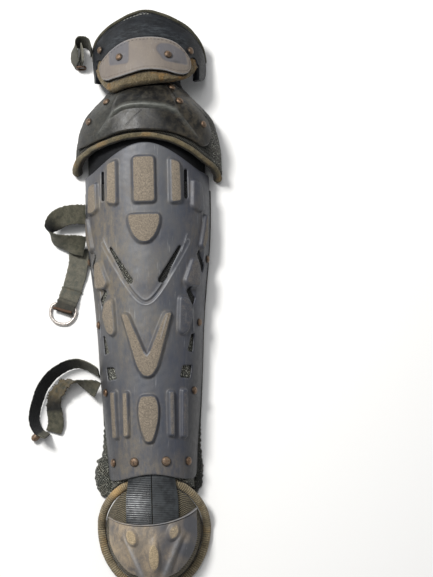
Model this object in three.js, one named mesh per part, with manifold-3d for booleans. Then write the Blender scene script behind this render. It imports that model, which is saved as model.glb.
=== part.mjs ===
// A catcher's leg guard lying on its back, front up. Millimetres, +Y to the thigh, +Z up.
// Y = 0 is the ankle edge of the shin shell until the finished group is centred at the end.
import * as THREE from 'three';
import Module from 'manifold-3d';
import { mergeVertices } from 'three/addons/utils/BufferGeometryUtils.js';

const wasm = await Module();
wasm.setup();

// Driving sizes
const gap = 0.4;
const faceting = 0.18;
const shellWall = 3;
const shin = { length: 398, halfWidth: 78, crown: 76, edge: 8 };
const linerThickness = 6;
const footLip = 1.5;
const rib = { height: 5, draft: 2 };
const strapThickness = 2.4;
const ankleStrapWidth = 29.5;
const webbing = { width: 25, thickness: 2 };
const rivetHead = { radius: 5.6, height: 2.6 };
const kneeLap = 33;
const knee = { start: shin.length - kneeLap, length: 120, halfWidth: 92, crown: 85, edge: 3, shift: 2 };
const kneeLinerThickness = 7;
const kneeHemRadius = 3.8;
const kneePanelHeight = 3.5;
const thighLap = 17;
const thigh = {
  start: knee.start + knee.length - thighLap, length: 110, halfWidth: 73.5, crown: 84, edge: 4, shift: 5.5,
};
const thighPadThickness = 9;
const thighPlateWall = 3;
const thighPipingRadius = 2;
const linkThickness = 2;
const toe = { middle: -62, halfWidth: 58, below: 68, above: 51.6, crown: 45, edge: 4 };
const toeLinerThickness = 7;
const toeBindingRadius = 5;
const toePipingRadius = 1.2;
const toeShellRimHeight = 0.56;

// Widths and crowns of the shin, as shares of its largest half width and crown
const shinSections = [
  { along: 0.0, width: 0.679, crown: 0.763 },
  { along: 0.063, width: 0.699, crown: 0.776 },
  { along: 0.291, width: 0.795, crown: 0.825 },
  { along: 0.477, width: 0.853, crown: 0.88 },
  { along: 0.754, width: 0.981, crown: 0.955 },
  { along: 1.0, width: 1.0, crown: 1.0 },
];
const kneeSections = [
  { along: 0.0, width: 1.01, crown: 0.99 },
  { along: 0.33, width: 1.0, crown: 0.995 },
  { along: 0.5, width: 0.957, crown: 1.0 },
  { along: 0.633, width: 0.902, crown: 0.976 },
  { along: 0.767, width: 0.77, crown: 0.9 },
  { along: 0.875, width: 0.63, crown: 0.785 },
  { along: 1.0, width: 0.53, crown: 0.67 },
];
const thighSections = [
  { along: 0.0, width: 0.95, crown: 1.0 },
  { along: 0.3, width: 0.98, crown: 0.95 },
  { along: 0.6, width: 1.0, crown: 0.83 },
  { along: 1.0, width: 0.97, crown: 0.6 },
];

// Smooth reading of one column of a table between its rows
function tableValue(rows, key, column, at) {
  const last = rows.length - 1;
  let i = 0;
  while (i < last - 1 && at > rows[i + 1][key]) {
    i += 1;
  }
  const slope = (a, b) => (rows[b][column] - rows[a][column]) / (rows[b][key] - rows[a][key]);
  const inner = slope(i, i + 1);
  const before = i > 0 ? (slope(i - 1, i) + inner) / 2 : inner;
  const after = i < last - 1 ? (inner + slope(i + 1, i + 2)) / 2 : inner;
  const span = rows[i + 1][key] - rows[i][key];
  const t = THREE.MathUtils.clamp((at - rows[i][key]) / span, 0, 1);
  const t2 = t * t;
  const t3 = t2 * t;
  return (2 * t3 - 3 * t2 + 1) * rows[i][column] + (t3 - 2 * t2 + t) * span * before
    + (3 * t2 - 2 * t3) * rows[i + 1][column] + (t3 - t2) * span * after;
}

// An arched form: half an ellipse across, swept along Y. side runs from -1 to 1 over the arch.
function archForm(size, sections, start) {
  const shift = size.shift ?? 0;
  const section = (y) => {
    const along = (y - start) / size.length;
    const width = size.halfWidth * tableValue(sections, 'along', 'width', along);
    const rise = size.crown * tableValue(sections, 'along', 'crown', along) - size.edge;
    return { width, rise };
  };
  const point = (side, y, lift) => {
    const { width, rise } = section(y);
    const angle = (side * Math.PI) / 2;
    const normal = new THREE.Vector2(Math.sin(angle) / width, Math.cos(angle) / rise).normalize();
    const x = shift + width * Math.sin(angle) + normal.x * lift;
    const z = size.edge + rise * Math.cos(angle) + normal.y * lift;
    return new THREE.Vector3(x, y, z);
  };
  const sideAt = (x, y) => {
    const share = THREE.MathUtils.clamp((x - shift) / section(y).width, -1, 1);
    return (Math.asin(share) * 2) / Math.PI;
  };
  const yAt = (along) => start + along * size.length;
  return { point, section, sideAt, yAt };
}

const shinForm = archForm(shin, shinSections, 0);
const kneeForm = archForm(knee, kneeSections, knee.start);
const thighForm = archForm(thigh, thighSections, thigh.start);

// The toe is a flattened dome: sweep 0 is its rim, 1 its widest line, 2 its upper edge
function toePoint(side, sweep, lift) {
  const angle = (side * Math.PI) / 2;
  const x = (toe.halfWidth + lift) * Math.sin(angle);
  const rise = (toe.crown + lift) * Math.cos(angle);
  if (sweep <= 1) {
    const fall = (sweep * Math.PI) / 2;
    const y = toe.middle - (toe.below + lift) * Math.cos(angle) * Math.cos(fall);
    return new THREE.Vector3(x, y, toe.edge + rise * Math.sin(fall));
  }
  const y = toe.middle + toe.above * Math.cos(angle) * (sweep - 1);
  return new THREE.Vector3(x, y, toe.edge + rise);
}

// Triangles from vertex rings that all have the same count, joined ring to ring
function meshFromRings(rings, closedLoop) {
  const count = rings[0].length;
  const positions = rings.flat().flatMap((p) => [p.x, p.y, p.z]);
  const triangles = [];
  const joins = closedLoop ? rings.length : rings.length - 1;
  for (let r = 0; r < joins; r += 1) {
    const next = (r + 1) % rings.length;
    for (let k = 0; k < count; k += 1) {
      const a = r * count + k;
      const b = r * count + ((k + 1) % count);
      const c = next * count + ((k + 1) % count);
      const d = next * count + k;
      triangles.push(a, b, c, a, c, d);
    }
  }
  if (!closedLoop) {
    const end = (rings.length - 1) * count;
    for (let k = 1; k < count - 1; k += 1) {
      triangles.push(0, k + 1, k);
      triangles.push(end, end + k, end + k + 1);
    }
  }
  return closedGeometry(positions, triangles);
}

function closedGeometry(positions, triangles) {
  const raw = new THREE.BufferGeometry();
  raw.setAttribute('position', new THREE.Float32BufferAttribute(positions, 3));
  raw.setIndex(triangles);
  return mergeVertices(raw, 1e-4);
}

// A wall between two skins. outer and inner give a point for column i and row j, both 0 to 1.
function wall(outer, inner, columns, rows) {
  const positions = [];
  const triangles = [];
  const across = columns.length;
  const along = rows.length;
  for (const skin of [outer, inner]) {
    for (const row of rows) {
      for (const column of columns) {
        positions.push(...skin(column, row).toArray());
      }
    }
  }
  const id = (skin, i, j) => skin * across * along + j * across + i;
  const quad = (a, b, c, d) => triangles.push(a, b, c, a, c, d);
  for (let j = 0; j < along - 1; j += 1) {
    for (let i = 0; i < across - 1; i += 1) {
      quad(id(0, i, j), id(0, i + 1, j), id(0, i + 1, j + 1), id(0, i, j + 1));
      quad(id(1, i, j + 1), id(1, i + 1, j + 1), id(1, i + 1, j), id(1, i, j));
    }
    quad(id(0, 0, j), id(0, 0, j + 1), id(1, 0, j + 1), id(1, 0, j));
    quad(id(1, across - 1, j), id(1, across - 1, j + 1), id(0, across - 1, j + 1), id(0, across - 1, j));
  }
  for (let i = 0; i < across - 1; i += 1) {
    quad(id(1, i, 0), id(1, i + 1, 0), id(0, i + 1, 0), id(0, i, 0));
    quad(id(0, i, along - 1), id(0, i + 1, along - 1), id(1, i + 1, along - 1), id(1, i, along - 1));
  }
  return closedGeometry(positions, triangles);
}

function steps(from, to, count) {
  return Array.from({ length: count + 1 }, (_, i) => from + ((to - from) * i) / count);
}

// A round tube along points, with its own radius at each, closed in a loop or capped
function tube(points, radii, sides, closedLoop = false) {
  const last = points.length - 1;
  const rings = points.map((point, i) => {
    const before = closedLoop ? points[(i + last) % (last + 1)] : points[Math.max(i - 1, 0)];
    const after = closedLoop ? points[(i + 1) % (last + 1)] : points[Math.min(i + 1, last)];
    const ahead = after.clone().sub(before).normalize();
    const out = new THREE.Vector3(0, 0, 1).addScaledVector(ahead, -ahead.z).normalize();
    const across = ahead.clone().cross(out);
    return steps(0, 2 * Math.PI, sides).slice(0, sides).map((angle) => point.clone()
      .addScaledVector(out, Math.cos(angle) * radii[i])
      .addScaledVector(across, Math.sin(angle) * radii[i]));
  });
  return meshFromRings(rings, closedLoop);
}

// A flat band along stations, each with a place and the direction of the band's width
function band(stations, placeOf, width, thickness) {
  const places = new THREE.CatmullRomCurve3(stations.map(placeOf));
  const widths = new THREE.CatmullRomCurve3(stations.map((s) => new THREE.Vector3(...s.across)));
  const rings = steps(0, 1, (stations.length - 1) * 2).map((t) => {
    const place = places.getPoint(t);
    const ahead = places.getTangent(t);
    const across = widths.getPoint(t);
    across.addScaledVector(ahead, -across.dot(ahead)).normalize();
    const up = ahead.clone().cross(across).normalize();
    const corner = (a, b) => place.clone()
      .addScaledVector(across, (a * width) / 2)
      .addScaledVector(up, (b * thickness) / 2);
    return [corner(-1, -1), corner(-1, 1), corner(1, 1), corner(1, -1)];
  });
  return meshFromRings(rings.reverse(), false);
}

function toSolid(geometry) {
  return new wasm.Manifold(new wasm.Mesh({
    numProp: 3,
    vertProperties: new Float32Array(geometry.attributes.position.array),
    triVerts: new Uint32Array(geometry.index.array),
  }));
}

function fromSolid(solid) {
  const mesh = solid.getMesh();
  const geometry = new THREE.BufferGeometry();
  geometry.setAttribute('position', new THREE.Float32BufferAttribute(mesh.vertProperties, 3));
  geometry.setIndex([...mesh.triVerts]);
  return geometry;
}

// A flat outline with its corners rounded; flat sizes are millimetres on the unrolled surface
function softened(corners, radius, arcSteps = 1) {
  return corners.flatMap((corner, i) => {
    const before = corners[(i + corners.length - 1) % corners.length];
    const after = corners[(i + 1) % corners.length];
    const back = before.clone().sub(corner);
    const on = after.clone().sub(corner);
    const reach = Math.min(radius, back.length() * 0.45, on.length() * 0.45);
    const from = corner.clone().addScaledVector(back.normalize(), reach);
    const to = corner.clone().addScaledVector(on.normalize(), reach);
    return steps(0, 1, arcSteps).map((t) => {
      const first = from.clone().lerp(corner, t);
      return first.lerp(corner.clone().lerp(to, t), t);
    });
  });
}

function ovalOutline(centre, halfWidth, halfLength, turn, count = 12) {
  return steps(0, 2 * Math.PI, count).slice(0, count).map((angle) => {
    const offset = new THREE.Vector2(halfWidth * Math.cos(angle), halfLength * Math.sin(angle));
    return offset.rotateAround(new THREE.Vector2(), turn).add(centre);
  });
}

// Outline moved outward by a distance, and its sides kept counterclockwise
function grown(outline, distance) {
  return outline.map((point, i) => {
    const before = outline[(i + outline.length - 1) % outline.length];
    const after = outline[(i + 1) % outline.length];
    const ahead = after.clone().sub(before).normalize();
    return new THREE.Vector2(point.x + ahead.y * distance, point.y - ahead.x * distance);
  });
}

function counterclockwise(outline) {
  return THREE.ShapeUtils.isClockWise(outline) ? outline.slice().reverse() : outline;
}

// A prism that follows a curved skin: one ring of the outline for each { lift, grow } level
function skinPrism(outline, levels, place) {
  const base = counterclockwise(outline);
  const positions = [];
  const triangles = [];
  const count = base.length;
  for (const level of levels) {
    for (const point of grown(base, level.grow)) {
      positions.push(...place(point, level.lift).toArray());
    }
  }
  for (let r = 0; r < levels.length - 1; r += 1) {
    for (let k = 0; k < count; k += 1) {
      const next = (k + 1) % count;
      const a = r * count + k;
      const b = r * count + next;
      triangles.push(a, b, b + count, a, b + count, a + count);
    }
  }
  const top = (levels.length - 1) * count;
  for (const [a, b, c] of THREE.ShapeUtils.triangulateShape(base, [])) {
    triangles.push(a, c, b);
    triangles.push(top + a, top + b, top + c);
  }
  return toSolid(closedGeometry(positions, triangles));
}

const reliefRoot = 0.6;
const reliefLevels = (height, draft) => [{ lift: -reliefRoot, grow: draft }, { lift: height, grow: 0 }];
const cutLevels = [{ lift: -3 * shellWall, grow: 0 }, { lift: 3 * shellWall, grow: 0 }];

// Flat shin coordinates: x is along the girth from the ridge, y along the guard
const shinGirth = shin.halfWidth * 1.36;
const reliefShift = -0.016;
const shinFlat = (side, along) => new THREE.Vector2((side + reliefShift) * shinGirth, along * shin.length);
const shinPlace = (flat, lift) => shinForm.point(flat.x / shinGirth, flat.y, lift);

// Each row is the corners of one raised pad of the shin shell: side share, length share
const shinRidgePads = [
  { round: 5, corners: [[-0.1, 0.812], [0.115, 0.812], [0.115, 0.955], [-0.1, 0.955]] },
  { round: 8, corners: [[-0.05, 0.69], [0.05, 0.69], [0.12, 0.715], [0.16, 0.752], [0.16, 0.778],
    [-0.16, 0.778], [-0.16, 0.752], [-0.12, 0.715]] },
  { round: 7, corners: [[-0.045, 0.093], [0.045, 0.093], [0.095, 0.125], [0.13, 0.165], [0.13, 0.205],
    [0.09, 0.232], [-0.09, 0.232], [-0.13, 0.205], [-0.13, 0.165], [-0.095, 0.125]] },
  { round: 7, corners: [[-0.05, 0.287], [0.05, 0.287], [0.125, 0.315], [0.295, 0.481], [0.206, 0.479],
    [0.0, 0.345], [-0.206, 0.479], [-0.295, 0.481], [-0.125, 0.315]] },
];
const shinSidePads = [
  { round: 4, corners: [[0.265, 0.81], [0.385, 0.818], [0.375, 0.94], [0.265, 0.95]] },
  { round: 4, corners: [[0.52, 0.805], [0.61, 0.795], [0.7, 0.8], [0.665, 0.885], [0.53, 0.892]] },
  { round: 3, corners: [[0.265, 0.112], [0.345, 0.112], [0.325, 0.245], [0.25, 0.245]] },
  { round: 3, corners: [[0.45, 0.108], [0.55, 0.108], [0.52, 0.25], [0.43, 0.25]] },
  { round: 5, corners: [[0.38, 0.425], [0.43, 0.414], [0.52, 0.427], [0.585, 0.478], [0.52, 0.52],
    [0.385, 0.53]] },
  { round: 5, corners: [[0.44, 0.575], [0.5, 0.56], [0.69, 0.565], [0.64, 0.642], [0.54, 0.65]] },
  { round: 4, corners: [[0.66, 0.69], [0.72, 0.68], [0.8, 0.72], [0.78, 0.79], [0.74, 0.79]] },
];
const shinVents = [
  { round: 3, corners: [[0.145, 0.57], [0.2, 0.568], [0.236, 0.583], [0.403, 0.684], [0.37, 0.684],
    [0.14, 0.581]] },
  { round: 2, corners: [[0.437, 0.83], [0.48, 0.83], [0.476, 0.922], [0.437, 0.922]] },
  { round: 2, corners: [[0.425, 0.286], [0.593, 0.285], [0.615, 0.324], [0.458, 0.322]] },
  { round: 1, corners: [[0.55, 0.369], [0.627, 0.367], [0.648, 0.413], [0.61, 0.412]] },
  { round: 2, corners: [[0.5, 0.545], [0.535, 0.552], [0.638, 0.525], [0.615, 0.516]] },
  { round: 2, corners: [[0.645, 0.661], [0.68, 0.668], [0.8, 0.63], [0.765, 0.622]] },
];
const chevronGroove = { width: 5.3, depth: 1.4, tip: 0.511, rise: 0.251, reach: 0.48, blunt: 0.3 };

function mirrored(rows) {
  return rows.flatMap((row) => [row, {
    round: row.round,
    corners: row.corners.map(([side, along]) => [-side, along]),
  }]);
}

const flatOutline = ({ round, corners }) => softened(corners.map(([s, a]) => shinFlat(s, a)), round);

// The shell's knee edge falls from the ridge to the sides, its ankle edge is a shallow arch
const smooth = (t) => THREE.MathUtils.smoothstep(t, 0, 1);
const kneeEdgeFall = { share: 0.075, by: 0.72 };
const ankleEdgeFall = { share: 0.015, by: 0.6 };
const cornerRound = { share: 0.032, from: 0.72 };
function shinTop(side) {
  return shin.length * (1 - kneeEdgeFall.share * smooth(Math.abs(side) / kneeEdgeFall.by));
}
function shinBottom(side) {
  const corner = Math.max(0, Math.abs(side) - cornerRound.from) / (1 - cornerRound.from);
  const fall = ankleEdgeFall.share * smooth(Math.abs(side) / ankleEdgeFall.by);
  return shin.length * (cornerRound.share * corner * corner - fall);
}

// The groove runs as a blunt V across the ridge, the same width square to its line
function grooveOutline() {
  const { width, tip, rise, reach, blunt } = chevronGroove;
  const climb = (t) => tip + rise * (Math.hypot(t, blunt) - blunt);
  const line = steps(-1, 1, 10).map((t) => shinFlat(t * reach, climb(t)));
  const side = (distance) => line.map((point, i) => {
    const ahead = line[Math.min(i + 1, line.length - 1)].clone().sub(line[Math.max(i - 1, 0)]).normalize();
    return new THREE.Vector2(point.x - ahead.y * distance, point.y + ahead.x * distance);
  });
  return [...side(-width / 2), ...side(width / 2).reverse()];
}

function makeShinShell() {
  const at = (side, row, lift) => {
    const bottom = shinBottom(side);
    return shinForm.point(side, bottom + (shinTop(side) - bottom) * row, lift);
  };
  const columns = [-1, -0.94, ...steps(-0.84, 0.84, 12), 0.94, 1];
  let shell = toSolid(wall((s, r) => at(s, r, 0), (s, r) => at(s, r, -shellWall), columns, steps(0, 1, 11)));
  for (const pad of [...shinRidgePads, ...mirrored(shinSidePads)]) {
    shell = shell.add(skinPrism(flatOutline(pad), reliefLevels(rib.height, rib.draft), shinPlace));
  }
  const grooveLevels = [{ lift: -chevronGroove.depth, grow: 0 }, { lift: 3 * shellWall, grow: 0 }];
  shell = shell.subtract(skinPrism(grooveOutline(), grooveLevels, shinPlace));
  for (const vent of mirrored(shinVents)) {
    shell = shell.subtract(skinPrism(flatOutline(vent), cutLevels, shinPlace));
  }
  return fromSolid(shell.simplify(faceting));
}

// How far the liner's foot stands out at the ankle beyond its lip: along is a share of the shin
const ankleFlare = [
  { along: -0.06, left: 9, right: -3 },
  { along: -0.035, left: 14, right: 4 },
  { along: 0.02, left: 16, right: 5.5 },
  { along: 0.05, left: 8, right: 4 },
  { along: 0.118, left: 2.5, right: 1 },
  { along: 0.19, left: 0, right: 0 },
  { along: 0.9, left: 0, right: 0 },
];
const toeArch = (x) => {
  const reach = toe.halfWidth + gap + 2 * toeBindingRadius;
  const share = Math.sqrt(Math.max(0, 1 - (x / reach) ** 2));
  return toe.middle + (toe.above + gap + 2 * toeBindingRadius) * share;
};
const shinLinerTop = shin.length - 46;
const shinLinerFoot = -24;
const strapRoom = { depth: strapThickness + 2 * gap, side: 0.57, until: 0.12 };

function makeShinLiner() {
  const feet = [1.04, 1.08, 1.12];
  const columns = [...feet.map((f) => -f).reverse(), -1, ...steps(-0.84, 0.84, 12), 1, ...feet];
  const lowest = (side) => {
    const x = (shinForm.section(0).width - 2 * shellWall) * Math.sin((side * Math.PI) / 2);
    return Math.abs(side) > 1 ? shinLinerFoot : Math.max(shinLinerFoot, toeArch(x) + 3 * gap);
  };
  const yAt = (side, row) => lowest(side) + (shinLinerTop - lowest(side)) * row;
  const outerLift = (side, y) => {
    const overStrap = Math.abs(side) <= strapRoom.side && y < strapRoom.until * shin.length;
    return -(shellWall + gap + (overStrap ? strapRoom.depth : 0));
  };
  const foot = (side, y, outerFace) => {
    const sign = Math.sign(side);
    const step = feet.indexOf(Math.abs(side));
    const width = shinForm.section(y).width;
    const flare = tableValue(ankleFlare, 'along', sign < 0 ? 'left' : 'right', y / shin.length);
    const under = width - shellWall - gap;
    const out = width + footLip + flare;
    const across = outerFace ? [(under + out) / 2, out, out - gap][step] : under - linerThickness;
    const height = outerFace ? [6, 4, 0][step] : [6, 3, 0][step];
    return new THREE.Vector3(sign * across, y, height);
  };
  const skin = (extra, outerFace) => (side, row) => {
    const y = yAt(side, row);
    if (Math.abs(side) > 1) {
      return foot(side, y, outerFace);
    }
    return shinForm.point(side, y, outerLift(side, y) - extra);
  };
  const rows = [0, 0.03, 0.085, 0.12, 0.18, 0.27, 0.4, 0.6, 0.8, 1];
  return wall(skin(0, true), skin(linerThickness, false), columns, rows);
}

// Knee outlines, a row for each side share: shell's two edges and the liner's lower edge, along the knee
const kneeOutline = [
  { side: -1.0, shellLow: 0.3, shellHigh: 0.34, linerLow: 0.117 },
  { side: -0.72, shellLow: 0.3, shellHigh: 0.45, linerLow: 0.2 },
  { side: -0.66, shellLow: 0.295, shellHigh: 0.54, linerLow: 0.217 },
  { side: -0.58, shellLow: 0.29, shellHigh: 0.63, linerLow: 0.233 },
  { side: -0.54, shellLow: 0.293, shellHigh: 0.72, linerLow: 0.25 },
  { side: -0.4, shellLow: 0.318, shellHigh: 0.79, linerLow: 0.275 },
  { side: -0.2, shellLow: 0.362, shellHigh: 0.85, linerLow: 0.317 },
  { side: 0.0, shellLow: 0.371, shellHigh: 0.9, linerLow: 0.329 },
  { side: 0.2, shellLow: 0.355, shellHigh: 0.935, linerLow: 0.292 },
  { side: 0.4, shellLow: 0.293, shellHigh: 0.945, linerLow: 0.208 },
  { side: 0.5, shellLow: 0.245, shellHigh: 0.9, linerLow: 0.155 },
  { side: 0.56, shellLow: 0.262, shellHigh: 0.83, linerLow: 0.125 },
  { side: 0.6, shellLow: 0.3, shellHigh: 0.71, linerLow: 0.108 },
  { side: 0.63, shellLow: 0.36, shellHigh: 0.59, linerLow: 0.095 },
  { side: 0.65, shellLow: 0.41, shellHigh: 0.49, linerLow: 0.09 },
  { side: 1.0, shellLow: 0.41, shellHigh: 0.49, linerLow: 0.01 },
];
const kneeEdge = (column) => (side) => kneeForm.yAt(tableValue(kneeOutline, 'side', column, side));
const kneeShellLift = 3.5 * gap;
const kneeLinerTop = knee.start + knee.length - 8;
const kneeShellEnds = { left: -0.72, right: 0.65 };
const hemTuck = 4;

// The shell's raised panel covers these shares of the side and of the way up the shell
const kneePanel = { side: 0.27, sideFoot: 0.31, from: 0.5, fromFoot: 0.42, to: 0.87, toFoot: 0.93 };

function makeKneeShell() {
  const low = kneeEdge('shellLow');
  const high = kneeEdge('shellHigh');
  const { side: edge, sideFoot, from, fromFoot, to, toFoot } = kneePanel;
  const { left, right } = kneeShellEnds;
  const columns = [left, -0.66, -0.58, -0.48, -0.39, -sideFoot, -edge, -edge / 2, 0, edge / 2, edge, sideFoot,
    0.4, 0.49, 0.56, 0.61, right];
  const rows = [0, 0.14, 0.28, fromFoot, from, (from + to) / 2, to, toFoot, 1];
  const relief = (side, row) => (Math.abs(side) <= edge && row >= from && row <= to ? kneePanelHeight : 0);
  const at = (lift, raised) => (side, row) => {
    const y = low(side) + (high(side) - low(side)) * row;
    return kneeForm.point(side, y, lift + raised * relief(side, row));
  };
  return wall(at(kneeShellLift + shellWall, 1), at(kneeShellLift, 0), columns, rows);
}

const hemRadius = (side) => kneeHemRadius + 1.6 * smooth((Math.abs(side) - 0.5) / 0.5);

function makeKneeLiner() {
  const low = kneeEdge('linerLow');
  const slant = 1.12;
  const at = (lift) => (side, row) => {
    const from = low(side) + (hemRadius(side) + gap) * slant;
    return kneeForm.point(side, from + (kneeLinerTop - from) * row, lift);
  };
  return wall(at(0), at(-kneeLinerThickness), steps(-1, 1, 18), steps(0, 1, 7));
}

function makeKneeHem() {
  const low = kneeEdge('linerLow');
  const sides = steps(-1, 1, 18);
  const points = sides.map((side) => {
    return kneeForm.point(side, low(side), -kneeLinerThickness / 2 + 1);
  });
  points.forEach((point, i) => {
    point.x -= hemTuck * smooth((sides[i] - 0.6) / 0.4);
    point.z = Math.max(point.z, kneeHemRadius + 2);
  });
  return tube(points, sides.map(hemRadius), 6);
}

// A thin flexible panel that leaves one form under its wall and meets the next one
function makeLink(from, to, yFrom, yTo, reach, turn, columns) {
  const at = (lift) => (side, row) => {
    const y = yFrom + (yTo - yFrom) * row;
    const start = from.form.point(side * reach, y, from.lift + lift);
    const end = to.form.point(side * (to.reach ?? reach), y, to.lift + lift);
    return start.lerp(end, smooth((row - turn) / (1 - turn)));
  };
  return wall(at(0), at(-linkThickness), steps(-1, 1, columns), [0, turn, ...steps(turn, 1, 5).slice(1)]);
}

// Thigh outlines, heights along the thigh flap. The pad's near edge lies under the plate.
const thighTopOutline = [
  { side: -1.0, top: 0.52 },
  { side: -0.9, top: 0.62 },
  { side: -0.77, top: 0.7 },
  { side: -0.63, top: 0.755 },
  { side: -0.47, top: 0.825 },
  { side: -0.34, top: 0.878 },
  { side: -0.18, top: 0.948 },
  { side: -0.02, top: 0.985 },
  { side: 0.2, top: 0.925 },
  { side: 0.36, top: 0.857 },
  { side: 0.47, top: 0.81 },
  { side: 0.61, top: 0.727 },
  { side: 0.8, top: 0.61 },
  { side: 1.0, top: 0.48 },
];
const thighPlateOutline = [
  { side: -0.6, low: 0.275, high: 0.31 },
  { side: -0.57, low: 0.185, high: 0.345 },
  { side: -0.515, low: 0.13, high: 0.388 },
  { side: -0.36, low: 0.114, high: 0.489 },
  { side: -0.19, low: 0.132, high: 0.559 },
  { side: -0.03, low: 0.165, high: 0.578 },
  { side: 0.09, low: 0.167, high: 0.576 },
  { side: 0.2, low: 0.16, high: 0.56 },
  { side: 0.33, low: 0.141, high: 0.51 },
  { side: 0.44, low: 0.16, high: 0.415 },
  { side: 0.49, low: 0.205, high: 0.35 },
  { side: 0.51, low: 0.25, high: 0.3 },
];
const bumperOutline = [
  { side: -0.745, low: 0.31, high: 0.36 },
  { side: -0.72, low: 0.23, high: 0.41 },
  { side: -0.66, low: 0.13, high: 0.42 },
  { side: -0.6, low: 0.06, high: 0.38 },
  { side: -0.5, low: -0.01, high: 0.22 },
  { side: -0.3, low: 0.0, high: 0.2 },
  { side: 0.0, low: 0.02, high: 0.225 },
  { side: 0.3, low: 0.065, high: 0.2 },
  { side: 0.42, low: 0.1, high: 0.22 },
  { side: 0.52, low: 0.14, high: 0.36 },
  { side: 0.6, low: 0.2, high: 0.4 },
  { side: 0.65, low: 0.28, high: 0.37 },
  { side: 0.67, low: 0.3, high: 0.33 },
];
const thighEdge = (rows, column) => (side) => thighForm.yAt(tableValue(rows, 'side', column, side));
const bumperBulge = 2.5;
const bumperColumns = [-0.745, -0.72, -0.69, -0.65, -0.6, -0.55, -0.5, -0.4, -0.2, 0, 0.2, 0.36, 0.42, 0.47,
  0.52, 0.56, 0.6, 0.64, 0.67];
const bumperEnds = { left: bumperColumns[0], right: bumperColumns.at(-1), clear: 0.02 };
const plateEnds = { left: -0.6, right: 0.51 };
const padCorner = { low: 0.17, rise: 0.2, from: 0.72 };

function thighTop(side) {
  return thighEdge(thighTopOutline, 'top')(side) - thighPipingRadius;
}

function makeThighPad() {
  const seam = thighEdge(bumperOutline, 'high');
  const slant = 1.4;
  const corner = (side) => {
    const share = Math.max(0, Math.abs(side) - padCorner.from) / (1 - padCorner.from);
    return thighForm.yAt(padCorner.low + padCorner.rise * share * share);
  };
  const { left, right, clear } = bumperEnds;
  const low = (side) => (side < left - clear || side > right + clear ? corner(side) : seam(side) + 3 * gap);
  const at = (lift) => (side, row) => {
    const top = thighTop(side) - (thighPipingRadius + gap) * slant;
    return thighForm.point(side, low(side) + (top - low(side)) * row, lift);
  };
  const columns = [-1, -0.9, left - 2 * clear, left - clear, ...bumperColumns.slice(1, -1), right + clear,
    right + 2 * clear, 0.8, 0.9, 1];
  return wall(at(0), at(-thighPadThickness), columns, [0, 0.14, 0.35, 0.6, 0.82, 1]);
}

function makeThighPiping() {
  const at = (side) => thighForm.point(side, thighTop(side), -thighPipingRadius);
  const points = steps(-0.98, 0.98, 20).map(at);
  return tube(points, points.map(() => thighPipingRadius), 5);
}

function makeThighBumper() {
  const low = thighEdge(bumperOutline, 'low');
  const high = thighEdge(bumperOutline, 'high');
  const bulge = (row) => bumperBulge * Math.sin(Math.PI * Math.min(1, row * 1.1 + 0.2));
  const at = (face) => (side, row) => {
    const y = low(side) + (high(side) - low(side)) * row;
    return thighForm.point(side, y, face > 0 ? bulge(row) - bumperBulge : -thighPadThickness);
  };
  return wall(at(1), at(-1), bumperColumns, steps(0, 1, 3));
}

function makeThighPlate() {
  const low = thighEdge(thighPlateOutline, 'low');
  const high = thighEdge(thighPlateOutline, 'high');
  const at = (lift) => (side, row) => thighForm.point(side, low(side) + (high(side) - low(side)) * row, lift);
  const columns = [plateEnds.left, -0.57, ...steps(-0.515, 0.44, 10), 0.49, plateEnds.right];
  return wall(at(2 * gap + thighPlateWall), at(2 * gap), columns, steps(0, 1, 4));
}

// The toe shell covers the dome above a rim height, up to a dipped edge at the ankle
const toeShellLift = strapThickness + 2 * gap;
const toeRimSide = (Math.acos(toeShellRimHeight) * 2) / Math.PI;
const toeDip = { centre: 4.5, tips: 18.5, lean: 4 };
function toeShellPoint(side, row, lift) {
  const angle = (side * Math.PI) / 2;
  const rim = Math.asin(Math.min(1, toeShellRimHeight / Math.cos(angle)));
  const start = (rim * 2) / Math.PI;
  const share = side / toeRimSide;
  const dip = toeDip.centre + (toeDip.tips - toeDip.centre) * share * share + toeDip.lean * share;
  const end = 1 + dip / (toe.above * Math.cos(angle));
  return toePoint(side, start + (end - start) * row, lift);
}

function makeToeShell() {
  const columns = steps(-toeRimSide * 0.985, toeRimSide * 0.985, 12);
  const at = (lift) => (side, row) => toeShellPoint(side, row, lift);
  let shell = toSolid(wall(at(toeShellLift + shellWall), at(toeShellLift), columns, steps(0, 1, 8)));
  const place = (flat, lift) => {
    const reach = toe.halfWidth + toeShellLift + shellWall;
    const side = (Math.asin(flat.x / reach) * 2) / Math.PI;
    const cosine = Math.cos((side * Math.PI) / 2);
    const fall = (toe.middle - flat.y) / ((toe.below + toeShellLift + shellWall) * cosine);
    const share = THREE.MathUtils.clamp(fall, 0, 0.98);
    return toePoint(side, (Math.acos(share) * 2) / Math.PI, toeShellLift + shellWall + lift);
  };
  // Places and sizes are shares of the toe's half width and of its reach below the middle
  const bumps = [
    { x: -0.414, y: -0.14, halfWidth: 0.103, halfLength: 0.14, turn: 0.35 },
    { x: 0.414, y: -0.066, halfWidth: 0.103, halfLength: 0.14, turn: -0.35 },
    { x: 0.017, y: -0.478, halfWidth: 0.112, halfLength: 0.25, turn: 0 },
  ];
  for (const bump of bumps) {
    const centre = new THREE.Vector2(bump.x * toe.halfWidth, toe.middle + bump.y * toe.below);
    const size = [bump.halfWidth * toe.halfWidth, bump.halfLength * toe.below];
    const outline = ovalOutline(centre, ...size, bump.turn);
    shell = shell.add(skinPrism(outline, reliefLevels(rib.height - 1, rib.draft), place));
  }
  return fromSolid(shell.simplify(faceting));
}

function makeToePiping() {
  const lift = toeShellLift / 2;
  const inset = 0.975;
  const edge = steps(-1, 1, 16).map((s) => toeShellPoint(s * toeRimSide * inset, -0.03, lift));
  return tube(edge, edge.map(() => toePipingRadius), 5);
}

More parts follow.
